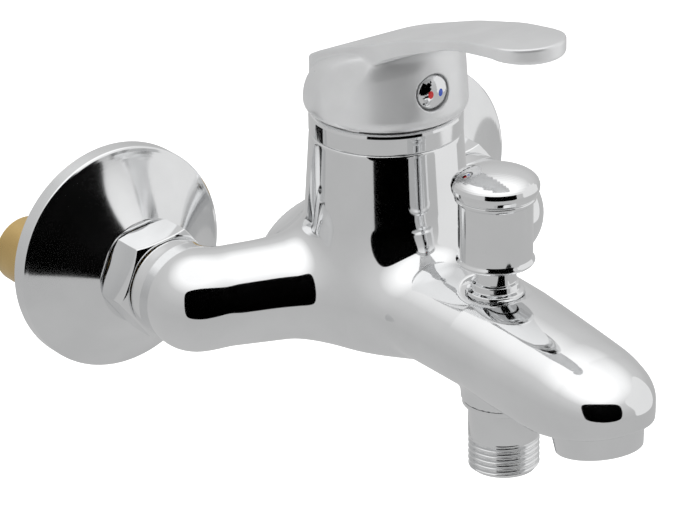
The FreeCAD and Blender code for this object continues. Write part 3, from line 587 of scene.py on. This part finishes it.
@dataclass
class MixerBody:
    """The cast body: two swept arms, the tower, the spout and both bosses, flowing together."""

    arm_radius: float = 14.8
    arm_root_radius: float = 16.6
    tower_radius: float = 22.8
    tower_flare: float = 0.067
    belly: float = -16.6
    nose_reach: float = 92.0
    grid: float = 0.85

    def __post_init__(self) -> None:
        """Take the body's fixed places from the frame."""
        low, high = box_mm("body")
        ring = middle("cover_ring")
        self.tower = np.array([ring[0], ring[1]])
        self.top = high[2]
        self.face = high[1]
        self.side = middle("union_nut_r")[0]
        self.knob = middle("diverter_knob")
        self.outlet = middle("outlet_nipple")
        self.low, self.high = low, high
        lean = math.radians(JET_LEAN)
        self.jet = np.array([0.0, -math.sin(lean), -math.cos(lean)])
        self.jet_start = middle("aerator_insert") - self.jet * INSERT_MIDDLE
        self.cartridge_radius = half_width("cartridge_housing")
        self.nut_radius = half_width("clamp_nut")
        self.seat = box_mm("port_gasket")[0][2]
        self.nut_seat = box_mm("clamp_nut")[0][2]

    def spout(self, points: np.ndarray) -> np.ndarray:
        """Distance to the spout, a broad oval bar that ends in a hood over the aerator."""
        reach = self.tower[1] - points[:, 1]
        centre = 0.8 - 2.6 * np.clip(reach / 101.0, 0.0, 1.3) ** 2
        width = np.interp(reach, (-10.0, 20.0, 55.0, 85.0, 101.0), (23.0, 22.6, 21.4, 19.2, 18.0))
        height = np.interp(reach, (-10.0, 30.0, 55.0, 85.0, 101.0), (15.4, 15.2, 15.2, 13.6, 12.6))
        nose = self.tower[1] - self.nose_reach
        ahead = np.clip((nose - points[:, 1]) / (nose - self.low[1]), 0.0, None)
        plan = (np.abs(points[:, 0] / width) ** 2.3 + ahead ** 2.3) ** (1 / 2.3)
        rise = (points[:, 2] - centre) / height
        fullness = np.interp(reach, (60.0, 100.0), (2.0, 4.0))
        power = np.where(rise > 0, 2.0, fullness)
        return ((plan ** power + np.abs(rise) ** power) ** (1 / power) - 1.0) * 14.0

    def outside(self, points: np.ndarray) -> np.ndarray:
        """Distance to the casting's outer skin."""
        x, y, z = points.T
        from_axis = np.hypot(x - self.tower[0], y - self.tower[1])
        cone = self.tower_radius + np.clip(self.top - z, 0.0, 70.0) * self.tower_flare
        tower = smooth_max(from_axis - cone, self.belly - z, 13.0)
        mirrored = np.stack([np.abs(x), y, z], axis=1)
        elbow = (self.side, self.face - 13.8, 0.0)
        root = (0.0, self.tower[1] + 3.0, 0.0)
        arm = cone_capsule(mirrored, elbow, root, self.arm_radius, self.arm_root_radius)
        stub = cone_capsule(mirrored, elbow, (self.side, self.face + 30.0, 0.0),
                            self.arm_radius, self.arm_radius)
        arm = smooth_min(arm, stub, 3.0)
        shape = smooth_min(tower, arm, 7.0)
        shape = smooth_min(shape, self.spout(points), 11.0)
        shape = smooth_max(shape, self.belly - 0.4 - z, 6.0)
        shape = smooth_max(shape, y - self.face, 1.0)
        seat = self.jet_start + self.jet * JET_SEAT
        behind = self.jet_start[1] + 19.0
        under = smooth_min(beyond(points, seat, self.jet), behind - y, 5.0)
        shape = smooth_max(shape, under, 1.1)
        pipe = round_bar(points, (0, self.outlet[1], 0), (0, 0, 1), 12.6)
        pipe = smooth_max(smooth_max(pipe, OUTLET_TOP - z, 1.0), z + 4.0, 2.0)
        shape = smooth_min(shape, pipe, 3.0)
        return smooth_max(shape, z - self.top, 0.9)

    def solid(self, points: np.ndarray) -> np.ndarray:
        """Distance to the casting with its sockets."""
        x, y, z = points.T
        shape = self.outside(points)
        from_axis = np.hypot(x - self.tower[0], y - self.tower[1])
        cavity = np.maximum(from_axis - self.cartridge_radius - 0.15, self.seat - z)
        cavity = np.minimum(cavity, np.maximum(from_axis - self.nut_radius - 0.15, self.nut_seat - z))
        socket = np.hypot(np.abs(x) - self.side, z) - self.arm_radius + 3.9
        cavity = np.minimum(cavity, np.maximum(socket, self.face - 11.2 - y))
        from_knob = np.hypot(x, y - self.knob[1])
        cavity = np.minimum(cavity, np.maximum(from_knob - 8.05, 4.0 - z))
        screw = np.maximum(np.hypot(x, y - self.outlet[1]) - 9.05, z + 10.0)
        cavity = np.minimum(cavity, screw)
        jets = np.maximum(round_bar(points, self.jet_start, self.jet, 12.1),
                          JET_SEAT - 4.9 - beyond(points, self.jet_start, self.jet))
        cavity = np.minimum(cavity, np.where(y < self.outlet[1] - 14.0, jets, 99.0))
        shape = smooth_max(shape, -cavity, 0.5)
        recess = smooth_max(from_knob - 9.6, RECESS_FLOOR - z, 1.2)
        return smooth_max(shape, -recess, 1.6)

    def build(self, finishes: FinishShelf) -> None:
        """Cast the body and dress it."""
        margin = 3.0
        piece = cast_piece("cast_body", self.solid, self.low - margin, self.high + margin, self.grid)
        stand_in(piece, finishes.chrome, "mixer", "body")


# ------------------------------------------------------------------ wall side

@dataclass
class WallCover:
    """A round cover with a rolled rim and a trumpet face, spun from sheet."""

    letter: str
    rim: float = 4.8
    wall: float = 1.2
    hole: float = 13.4
    collar: float = 16.4
    flare: float = 1.15
    rolled_edge: float = 0.9

    def build(self, finishes: FinishShelf) -> None:
        """Turn the cover and dress it."""
        node = f"rosette_{self.letter}"
        low, high = box_mm(node)
        radius, height = (high[0] - low[0]) / 2, high[1] - low[1]
        edge = radius - 0.6
        shares = np.linspace(0.0, 1.0, 24)
        face = [(edge + (self.collar - edge) * share,
                 self.rim + 0.5 + (height - self.rim - 0.5) * share ** self.flare) for share in shares]
        back = [(r - self.wall, z - 1.9) for r, z in face[::-1] if r - self.wall > self.hole + 1.0]
        loop = [(radius, 0.0), (radius, self.rim, self.rolled_edge)] + face[:-1]
        loop += [(*face[-1], 0.6), (self.hole, height, 0.2), (self.hole, height - 3.0)]
        loop += back[1:] + [(radius - self.wall, self.rim - 1.4), (radius - self.wall, 0.0)]
        piece = turned_piece(f"wall_cover_{self.letter}", loop, from_wall(middle(node)[0]), 192, 6)
        stand_in(piece, finishes.cover, "mixer", node)


@dataclass
class UnionNut:
    """A hexagon nut with turned chamfers on both faces."""

    letter: str
    flats: float = 30.0
    turn: float = 8.0
    bore: float = 13.45
    grid: float = 0.42

    def __post_init__(self) -> None:
        """Take the nut's ends from the frame."""
        self.node = f"union_nut_{self.letter}"
        self.low, self.high = box_mm(self.node)

    def solid(self, points: np.ndarray) -> np.ndarray:
        """Distance to the nut, with its axis through the origin of X and Z."""
        x, y, z = points.T
        radius = np.hypot(x, z)
        angle = np.arctan2(z, x) - math.radians(self.turn)
        flat = radius * np.cos(angle % (math.pi / 3) - math.pi / 6) - self.flats / 2
        shape = smooth_max(flat, smooth_max(y - self.high[1], self.low[1] - y, 0.3), 0.7)
        for end, sign in ((self.low[1], -1.0), (self.high[1], 1.0)):
            chamfer = (radius - self.flats / 2 - 0.2) * 0.5 + (y - end) * sign * 0.87
            shape = smooth_max(shape, chamfer, 0.35)
        return smooth_max(shape, self.bore - radius, 0.4)

    def build(self, finishes: FinishShelf) -> None:
        """Make the nut and dress it."""
        reach = (self.high[0] - self.low[0]) / 2 + 0.6
        piece = cast_piece(f"hex_nut_{self.letter}", self.solid, (-reach, self.low[1] - 1.0, -reach),
                           (reach, self.high[1] + 1.0, reach), self.grid)
        piece.data.transform(Matrix.Translation((middle(self.node)[0] * MM, 0.0, 0.0)))
        stand_in(piece, finishes.chrome, "mixer", self.node)


# ------------------------------------------------------------------ handle

@dataclass
class Handle:
    """The cap and its lever in one casting, with a scoop on each side, and the plug in front."""

    cap_radius: float = 24.4
    taper: float = 0.055
    widest: float = 58.5
    skirt: float = 21.9
    tip_radius: float = 12.0
    plug_height: float = 66.3
    plug_floor: float = -87.8
    plug_radius: float = 5.3
    socket_radius: float = 5.65
    hollow_ceiling: float = 71.0
    hub_radius: float = 8.0
    boss_radius: float = 7.6
    stem_half: float = 4.05
    stem_top: float = 72.5
    grid: float = 0.52
    line: Profile = ((-43.0, 66.6), (-50.0, 70.0), (-54.0, 72.3), (-66.0, 77.2), (-78.0, 81.2),
                     (-93.0, 86.6), (-117.0, 93.4), (-133.0, 96.2), (-144.0, 97.0))
    widths: Profile = ((-78.0, 16.0), (-93.0, 14.2), (-115.0, 12.7), (-135.0, 12.0), (-144.0, 12.0))
    depths: Profile = ((-78.0, 6.5), (-93.0, 4.8), (-112.0, 3.0), (-130.0, 3.6), (-144.0, 5.0))

    def __post_init__(self) -> None:
        """Take the handle's fixed places from the frame."""
        self.low, self.high = box_mm("lever_handle")
        self.axis_y = middle("cover_ring")[1]

    def along(self, y: np.ndarray, curve: Profile) -> np.ndarray:
        """Read a smooth curve of value against Y.

        Args:
            y: Where to read it.
            curve: Pairs of Y and value, from the wall outwards.

        Returns:
            One value per place.
        """
        table = np.array(curve)[::-1]
        fine = np.linspace(table[0, 0], table[-1, 0], 240)
        values = np.interp(fine, table[:, 0], table[:, 1])
        values = np.convolve(np.pad(values, 16, mode="edge"), np.hanning(33) / np.hanning(33).sum(), "valid")
        return np.interp(y, fine, values)

    def scoop(self, points: np.ndarray) -> np.ndarray:
        """Distance to the hollow of two facets that meet in a valley, on both sides."""
        mirrored = np.stack([-np.abs(points[:, 0]), points[:, 1], points[:, 2]], axis=1)
        apex = np.array((-23.2, self.axis_y - 6.2, 61.5))
        rear = np.array((-23.0, self.axis_y - 0.8, 74.0))
        valley = np.array((-16.0, self.axis_y - 14.0, 78.0))
        crest = np.array((-21.0, self.axis_y - 11.6, 68.0))
        planes = []
        for first, second in ((rear, valley), (valley, crest)):
            normal = np.cross(first - apex, second - apex)
            planes.append((mirrored - apex) @ (normal / np.linalg.norm(normal)))
        return smooth_max(planes[0], planes[1], 1.6)

    def solid(self, points: np.ndarray) -> np.ndarray:
        """Distance to the handle."""
        x, y, z = points.T
        from_axis = np.hypot(x, y - self.axis_y)
        radius = self.cap_radius - np.clip(z - self.widest, 0.0, 60.0) * self.taper
        line = self.along(y, self.line)
        cap = smooth_max(from_axis - radius, self.low[2] - z, 3.2)
        cap = smooth_max(cap, (z - line + 2.6) * 0.92, 9.0)
        cap = smooth_max(cap, -self.scoop(points), 1.2)
        half = self.along(y, self.widths)
        depth = self.along(y, self.depths)
        strap = smooth_max((z - line) * 0.92, (line - depth - z) * 0.92, 0.8)
        strap = smooth_max(strap, np.abs(x) - half, 0.9)
        ahead = self.low[1] + self.tip_radius - y
        tip = np.hypot(x, np.clip(ahead, 0.0, None)) - self.tip_radius
        strap = smooth_max(strap, np.where(ahead > 0, tip, np.abs(x) - half), 0.9)
        rear = from_axis - self.cap_radius + 1.0 - np.where(y < self.axis_y, 200.0, 0.0)
        strap = smooth_max(strap, rear, 1.5)
        shape = smooth_min(cap, strap, 1.0)
        under = np.clip((z - self.low[2]) / 17.0, 0.0, 1.0)
        hollow = smooth_max(from_axis - self.skirt + 4.6 * under ** 2, z - self.hollow_ceiling, 3.0)
        hub = smooth_max(from_axis - self.hub_radius, self.low[2] + 4.6 - z, 0.6)
        boss = smooth_max(np.hypot(x, z - self.plug_height) - self.boss_radius, y - self.axis_y, 0.5)
        hollow = smooth_max(hollow, -np.minimum(hub, boss), 0.8)
        shape = smooth_max(shape, -hollow, 0.4)
        seat = smooth_max(np.hypot(x, z - self.plug_height) - self.socket_radius, y - self.plug_floor, 0.2)
        socket = np.maximum(np.abs(x), np.abs(y - self.axis_y)) - self.stem_half
        socket = np.maximum(socket, z - self.stem_top)
        return smooth_max(smooth_max(shape, -seat, 0.5), -socket, 0.3)

    def build(self, finishes: FinishShelf) -> None:
        """Cast the handle, dress it, and set the plug with its two enamel marks."""
        piece = cast_piece("handle_casting", self.solid, self.low - 2.0, self.high + 2.0, self.grid)
        stand_in(piece, finishes.satin, "lever", "lever_handle")
        low, high = box_mm("indicator_plug")
        floor, crown = -self.plug_floor, -low[1]
        shank = -high[1]
        rise = crown - floor
        profile = [(0.0, shank), (2.4, shank), (2.4, floor), (self.plug_radius, floor),
                   (self.plug_radius, floor + 0.7, 0.5)]
        profile += [(self.plug_radius * math.cos(a), floor + 0.7 + (rise - 0.7) * math.sin(a))
                    for a in np.linspace(0.15, 1.45, 9)]
        profile += [(0.0, crown)]
        plug = turned_piece("indicator_button", profile,
                            Matrix.Translation((0.0, 0.0, self.plug_height)) @ from_wall(0.0), 96, 5)
        stand_in(plug, finishes.chrome, "lever", "indicator_plug")
        for name, side, material in (("hot_mark", -1.0, finishes.hot), ("cold_mark", 1.0, finishes.cold)):
            self.mark(name, side, rise, floor, material)

    def mark(self, name: str, side: float, rise: float, floor: float, material: bpy.types.Material) -> None:
        """Lay one enamel mark on the plug's dome.

        Args:
            name: The piece's name.
            side: -1 for the left half of the plug, 1 for the right half.
            rise: Height of the plug over its seat.
            floor: Distance of the seat from the wall.
            material: The enamel.
        """
        rings, around = 5, 28
        vertices: list[tuple[float, float, float]] = []
        for ring in range(rings + 1):
            for step in range(around):
                angle = 2 * math.pi * step / around
                across = side * 1.75 + 0.95 * ring / rings * math.cos(angle)
                up = 1.35 * ring / rings * math.sin(angle)
                out = math.hypot(across, up) / self.plug_radius
                height = floor + 0.7 + (rise - 0.7) * math.sqrt(max(1.0 - out * out, 0.0)) + 0.05
                height -= 0.09 * (ring / rings) ** 6
                vertices.append((across, -height, self.plug_height + up))
        faces = [[r * around + k, r * around + (k + 1) % around, (r + 1) * around + (k + 1) % around,
                  (r + 1) * around + k] for r in range(1, rings) for k in range(around)]
        faces.append([around + k for k in range(around)][::-1])
        piece = add_piece(name, vertices, faces)
        dress(piece, material)
        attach(piece, "lever")


# ------------------------------------------------------------------ small turned parts

@dataclass
class CoverRing:
    """The bright ring between body and handle, with an undercut line at its foot."""

    bore: float = 17.0
    spigot: float = 19.3
    fillet: float = 0.5

    def build(self, finishes: FinishShelf) -> None:
        """Turn the ring and dress it."""
        low, high = box_mm("cover_ring")
        radius = (high[0] - low[0]) / 2
        foot = box_mm("body")[1][2]
        profile = [(self.bore, low[2]), (self.spigot, low[2]), (self.spigot, foot),
                   (radius, foot, self.fillet), (radius, high[2] - 1.4), (radius - 0.25, high[2] - 0.6),
                   (radius - 1.0, high[2], 0.3), (self.bore, high[2])]
        place = upright(*middle("cover_ring")[:2])
        stand_in(turned_piece("bright_ring", profile, place, 192), finishes.chrome, "mixer", "cover_ring")


@dataclass
class Diverter:
    """The pull knob and the gland that guides it."""

    sleeve: float = 10.9
    neck: float = 6.1
    rod: float = 2.6

    def build(self, finishes: FinishShelf) -> None:
        """Turn both parts and dress them."""
        self.build_knob(finishes)
        self.build_bonnet(finishes)

    def build_knob(self, finishes: FinishShelf) -> None:
        """Turn the knob: bead, sleeve, two rolls, brim and dome."""
        low, high = box_mm("diverter_knob")
        brim = (high[0] - low[0]) / 2
        bottom, top = low[2], high[2]
        widest = top - 5.0
        inside, roof = self.neck + 0.4, top - 16.2
        dome = [(brim * math.cos(a), widest + (top - widest) * math.sin(a))
                for a in np.linspace(0.25, 1.5, 14)]
        profile = [(0.0, roof), (inside, roof, 0.4), (inside, bottom, 0.3),
                   (self.sleeve + 0.1, bottom, 0.5), (self.sleeve + 0.75, bottom + 0.9, 0.6),
                   (self.sleeve + 0.1, bottom + 1.9, 0.3), (self.sleeve, bottom + 2.2, 0.3),
                   (self.sleeve, widest - 5.0, 0.3), (self.sleeve + 0.35, widest - 4.6, 0.2),
                   (self.sleeve + 0.95, widest - 4.1, 0.4), (self.sleeve + 0.95, widest - 3.4, 0.4),
                   (self.sleeve + 0.4, widest - 2.9, 0.2), (brim - 0.7, widest - 2.6, 0.5),
                   (brim - 0.1, widest - 1.2, 0.9), (brim, widest, 0.8)]
        piece = turned_piece("pull_knob", profile + dome + [(0.0, top)],
                             upright(*middle("diverter_knob")[:2]), 144, 6)
        stand_in(piece, finishes.chrome, "diverter", "diverter_knob")

    def build_bonnet(self, finishes: FinishShelf) -> None:
        """Turn the gland: screwed foot, flange, neck and a small roll round the neck."""
        low, high = box_mm("diverter_bonnet")
        boss = RECESS_FLOOR
        profile = [(self.rod, low[2]), (8.0, low[2], 0.3), (8.0, boss), (8.5, boss), (8.5, boss + 1.0, 0.6),
                   (self.neck + 1.0, boss + 1.6, 0.5), (self.neck + 0.9, boss + 3.4, 0.5),
                   (self.neck, boss + 3.9, 0.3), (self.neck, high[2], 0.4), (self.rod, high[2])]
        piece = turned_piece("diverter_gland", profile, upright(*middle("diverter_bonnet")[:2]), 128, 6)
        stand_in(piece, finishes.chrome, "mixer", "diverter_bonnet")


@dataclass
class ShowerOutlet:
    """The outlet nipple with its collar and a real helical thread."""

    radius: float = 10.48
    pitch: float = 1.814
    thread_depth: float = 0.95
    thread_top: float = -29.0
    collar: float = 12.18
    bore: float = 7.58
    screw: float = 8.98
    segments: int = 144
    rings_per_turn: int = 14

    def build(self, finishes: FinishShelf) -> None:
        """Turn the nipple, cut its thread and dress it."""
        low, high = box_mm("outlet_nipple")
        bottom, top = low[2], high[2]
        collar_top = OUTLET_TOP
        count = int((self.thread_top - bottom) / self.pitch * self.rings_per_turn)
        heights = np.linspace(bottom + 0.6, self.thread_top, count)
        rows: list[tuple[float, float, bool]] = [(self.bore, bottom, False),
                                                 (self.radius - 1.1, bottom, False)]
        rows += [(self.radius, float(z), True) for z in heights]
        rows += [(self.radius, collar_top - 1.9, False), (self.collar - 0.3, collar_top - 1.6, False),
                 (self.collar, collar_top - 1.2, False), (self.collar, collar_top, False),
                 (self.screw, collar_top, False), (self.screw, top, False), (self.bore, top, False)]
        place = middle("outlet_nipple")
        vertices: list[tuple[float, float, float]] = []
        for radius, height, cut in rows:
            for step in range(self.segments):
                angle = 2 * math.pi * step / self.segments
                depth = 0.0
                if cut:
                    phase = (height / self.pitch - angle / (2 * math.pi)) % 1.0
                    fade = min((self.thread_top - height) / 1.2, 1.0) * min((height - bottom) / 0.9, 1.0)
                    depth = self.thread_depth * fade * (0.5 - 0.5 * math.cos(2 * math.pi * phase)) ** 1.3
                    depth += max(0.0, 0.9 - (height - bottom)) * 0.9
                reach = radius - depth
                vertices.append((place[0] + reach * math.cos(angle),
                                 place[1] + reach * math.sin(angle), height))
        size = self.segments
        faces = [[a * size + k, a * size + (k + 1) % size, b * size + (k + 1) % size, b * size + k]
                 for a, b in ((i, (i + 1) % len(rows)) for i in range(len(rows))) for k in range(size)]
        piece = add_piece("shower_nipple", vertices, faces)
        edges = piece.modifiers.new("edges", "EDGE_SPLIT")
        edges.split_angle = math.radians(40)
        stand_in(piece, finishes.cover, "mixer", "outlet_nipple")


@dataclass
class AeratorRing:
    """The ring screwed into the spout's end, on its leaning axis."""

    radius: float = 13.5
    socket: float = 12.0
    length: float = 7.0
    taper: float = 0.9

    def build(self, finishes: FinishShelf) -> None:
        """Turn the ring and dress it."""
        lean = math.radians(JET_LEAN)
        jet = Vector((0.0, -math.sin(lean), -math.cos(lean)))
        origin = Vector(middle("aerator_insert")) - jet * INSERT_MIDDLE
        place = Matrix.Translation(origin) @ jet.to_track_quat("Z", "X").to_matrix().to_4x4()
        start, end = JET_SEAT - 2.8, JET_SEAT + self.length
        seat = JET_SEAT + 0.05
        profile = [(self.radius, seat, 0.2), (self.radius - self.taper, end - 0.3, 0.5),
                   (self.radius - self.taper - 0.7, end, 0.4), (self.socket - 1.4, end, 0.3),
                   (self.socket - 1.4, start, 0.2), (self.socket, start, 0.2), (self.socket, seat)]
        piece = turned_piece("aerator_collar", profile[::-1], place, 144)
        stand_in(piece, finishes.chrome, "mixer", "aerator_housing")


# ------------------------------------------------------------------ inner parts kept from the frame

@dataclass(frozen=True)
class InnerParts:
    """The CAD nodes whose shape is kept, by finish."""

    brass: tuple[str, ...] = ("eccentric_union_l", "eccentric_union_r", "inlet_tailpiece_l",
                              "inlet_tailpiece_r", "clamp_nut", "diverter_rod", "diverter_disc")
    steel: tuple[str, ...] = ("inlet_strainer_l", "inlet_strainer_r", "stem", "pivot_pin", "grub_screw",
                              "diverter_spring", "check_valve_spring")
    rubber: tuple[str, ...] = ("inlet_washer_l", "inlet_washer_r", "port_gasket", "bonnet_oring",
                               "diverter_seal", "aerator_washer")
    acetal: tuple[str, ...] = ("cartridge_base", "cartridge_housing", "rotor", "disc_carrier",
                               "check_valve_cage", "check_valve_poppet", "aerator_insert")
    alumina: tuple[str, ...] = ("fixed_disc", "moving_disc")

    def dress(self, finishes: FinishShelf) -> None:
        """Give each kept node its finish."""
        for finish in ("brass", "steel", "rubber", "acetal", "alumina"):
            for node in getattr(self, finish):
                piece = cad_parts[node]
                if not piece.material_slots:
                    piece.data.materials.append(None)
                for place in piece.material_slots:
                    place.material = getattr(finishes, finish)
                LOG.info("%s: kept, %s", node, finish)


# ------------------------------------------------------------------ studio

class Tone(Enum):
    """What a studio card sends into the metal."""

    WHITE = 1.0
    BLACK = 0.0


@dataclass(frozen=True)
class Card:
    """A flat card round the tap that only the metal sees."""

    name: str
    azimuth: float
    elevation: float
    width: float
    height: float
    tone: Tone
    strength: float = 1.0
    distance: float = 3.0

    def build(self, centre: Vector) -> None:
        """Hang the card so that it faces a point.

        Args:
            centre: The point that the card faces.
        """
        turn, rise = math.radians(self.azimuth), math.radians(self.elevation)
        away = Vector((math.sin(turn) * math.cos(rise), -math.cos(turn) * math.cos(rise), math.sin(rise)))
        half_w = self.distance * math.tan(math.radians(self.width / 2))
        half_h = self.distance * math.tan(math.radians(self.height / 2))
        corners, steps, power = [], 48, 6.0
        for step in range(steps):
            angle = 2 * math.pi * step / steps
            c, s = math.cos(angle), math.sin(angle)
            corners.append((math.copysign(abs(c) ** (2 / power), c) * half_w,
                            math.copysign(abs(s) ** (2 / power), s) * half_h, 0.0))
        mesh = bpy.data.meshes.new(self.name)
        mesh.from_pydata(corners, [], [list(range(steps))])
        card = bpy.data.objects.new(self.name, mesh)
        bpy.context.scene.collection.objects.link(card)
        card.matrix_world = Matrix.Translation(centre + away * self.distance) \
            @ away.to_track_quat("Z", "Y").to_matrix().to_4x4()
        material = bpy.data.materials.new(self.name)
        material.use_nodes = True
        tree = material.node_tree
        tree.nodes.clear()
        glow = tree.nodes.new("ShaderNodeEmission")
        level = self.tone.value * self.strength
        glow.inputs["Color"].default_value = (1.0, 1.0, 1.0, 1.0)
        glow.inputs["Strength"].default_value = level
        output = tree.nodes.new("ShaderNodeOutputMaterial")
        tree.links.new(glow.outputs["Emission"], output.inputs["Surface"])
        mesh.materials.append(material)
        card.visible_camera = False
        card.visible_shadow = False
        card.visible_diffuse = self.tone is Tone.WHITE
        card.visible_transmission = False
        card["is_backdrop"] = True


@dataclass
class Studio:
    """The pale floor, the surround, the cards and a soft lamp."""

    floor_drop: float = 0.22
    floor_size: float = 12.0
    floor_glow: float = 0.55
    surround: float = 1.2
    lamp_power: float = 3.0
    lamp_size: float = 1.2
    lamp_place: tuple[float, float, float] = (-0.5, -1.1, 1.3)
    sky: Profile = ((0.0, 0.45), (0.36, 0.43), (0.55, 0.46), (0.78, 0.56), (0.88, 0.85), (0.93, 1.0))
    cards: tuple[Card, ...] = (
        Card("front_flag", -23.0, 15.0, 80.0, 68.0, Tone.BLACK),
        Card("right_light", 66.0, 10.0, 60.0, 64.0, Tone.WHITE, 0.86),
    )

    def build(self) -> None:
        """Set the floor, the surround, the cards and the lamp."""
        centre = Vector(middle("body") * MM)
        self.build_floor()
        self.build_surround()
        for card in self.cards:
            card.build(centre)
        self.build_lamp(centre)
        bpy.context.scene.view_settings.view_transform = "Standard"

    def build_lamp(self, centre: Vector) -> None:
        """Hang one broad soft lamp above and in front of the tap."""
        data = bpy.data.lights.new("soft_lamp", "AREA")
        data.size = self.lamp_size
        data.energy = self.lamp_power
        lamp = bpy.data.objects.new("soft_lamp", data)
        bpy.context.scene.collection.objects.link(lamp)
        place = Vector(self.lamp_place)
        lamp.matrix_world = Matrix.Translation(centre + place) \
            @ place.to_track_quat("Z", "Y").to_matrix().to_4x4()
        lamp.visible_glossy = False

    def build_floor(self) -> None:
        """Lay the pale floor under the tap."""
        half = self.floor_size / 2
        mesh = bpy.data.meshes.new("studio_floor")
        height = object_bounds()[0][2] - self.floor_drop
        mesh.from_pydata([(-half, -half, height), (half, -half, height), (half, half, height),
                          (-half, half, height)], [], [[0, 1, 2, 3]])
        floor = bpy.data.objects.new("studio_floor", mesh)
        bpy.context.scene.collection.objects.link(floor)
        material = bpy.data.materials.new("pale_floor")
        material.use_nodes = True
        tree = material.node_tree
        shader = tree.nodes["Principled BSDF"]
        shader.inputs["Roughness"].default_value = 0.7
        shader.inputs["Emission Color"].default_value = (1.0, 1.0, 1.0, 1.0)
        shader.inputs["Emission Strength"].default_value = self.floor_glow
        noise = tree.nodes.new("ShaderNodeTexNoise")
        noise.inputs["Scale"].default_value = 3.0
        tint = tree.nodes.new("ShaderNodeValToRGB")
        tint.color_ramp.elements[0].color = (0.93, 0.93, 0.93, 1.0)
        tint.color_ramp.elements[1].color = (0.97, 0.97, 0.97, 1.0)
        tree.links.new(noise.outputs["Fac"], tint.inputs["Fac"])
        tree.links.new(tint.outputs["Color"], shader.inputs["Base Color"])
        mesh.materials.append(material)
        floor.visible_glossy = False
        floor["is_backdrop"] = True

    def build_surround(self) -> None:
        """Light the scene from a surround that is white overhead and grey lower down."""
        world = bpy.context.scene.world or bpy.data.worlds.new("surround")
        bpy.context.scene.world = world
        world.use_nodes = True
        tree = world.node_tree
        shade = tree.nodes["Background"]
        shade.inputs["Strength"].default_value = self.surround
        place = tree.nodes.new("ShaderNodeTexCoord")
        split = tree.nodes.new("ShaderNodeSeparateXYZ")
        ramp = tree.nodes.new("ShaderNodeValToRGB")
        stops = ramp.color_ramp.elements
        while len(stops) < len(self.sky):
            stops.new(0.5)
        for stop, (height, level) in zip(stops, self.sky):
            stop.position = height
            stop.color = (level, level, level, 1.0)
        shift = tree.nodes.new("ShaderNodeMath")
        shift.operation = "MULTIPLY_ADD"
        shift.inputs[1].default_value = 0.5
        shift.inputs[2].default_value = 0.5
        tree.links.new(place.outputs["Generated"], split.inputs["Vector"])
        tree.links.new(split.outputs["Z"], shift.inputs[0])
        tree.links.new(shift.outputs["Value"], ramp.inputs["Fac"])
        tree.links.new(ramp.outputs["Color"], shade.inputs["Color"])


@dataclass
class Viewpoint:
    """The camera, on a long lens."""

    azimuth: float = -35.195
    elevation: float = 23.468
    roll: float = -0.896
    distance: float = 1334.5
    aim: tuple[float, float, float] = (-13.01, -58.9, 8.48)
    lens: float = 238.8

    def build(self) -> None:
        """Place the camera and make it the scene's."""
        turn, rise = math.radians(self.azimuth), math.radians(self.elevation)
        back = Vector((math.sin(turn) * math.cos(rise), -math.cos(turn) * math.cos(rise), math.sin(rise)))
        right = (-back).cross(Vector((0.0, 0.0, 1.0))).normalized()
        up = right.cross(-back)
        lean = math.radians(self.roll)
        side = math.cos(lean) * right + math.sin(lean) * up
        top = -math.sin(lean) * right + math.cos(lean) * up
        data = bpy.data.cameras.new("view")
        data.lens = self.lens
        data.sensor_width = 36.0
        data.clip_end = 50.0
        camera = bpy.data.objects.new("view", data)
        bpy.context.scene.collection.objects.link(camera)
        camera.matrix_world = Matrix.Translation(Vector(self.aim) * MM + back * self.distance * MM) \
            @ Matrix((side, top, back)).transposed().to_4x4()
        bpy.context.scene.camera = camera


# ------------------------------------------------------------------ main


def main() -> None:
    """Build every sub-assembly, the studio and the camera."""
    logging.basicConfig(level=logging.INFO, format="%(name)s: %(message)s")
    finishes = FinishShelf()
    MixerBody().build(finishes)
    for letter in ("l", "r"):
        WallCover(letter).build(finishes)
        UnionNut(letter).build(finishes)
    CoverRing().build(finishes)
    Handle().build(finishes)
    Diverter().build(finishes)
    ShowerOutlet().build(finishes)
    AeratorRing().build(finishes)
    InnerParts().dress(finishes)
    Studio().build()
    Viewpoint().build()


if __name__ == "__main__":
    main()
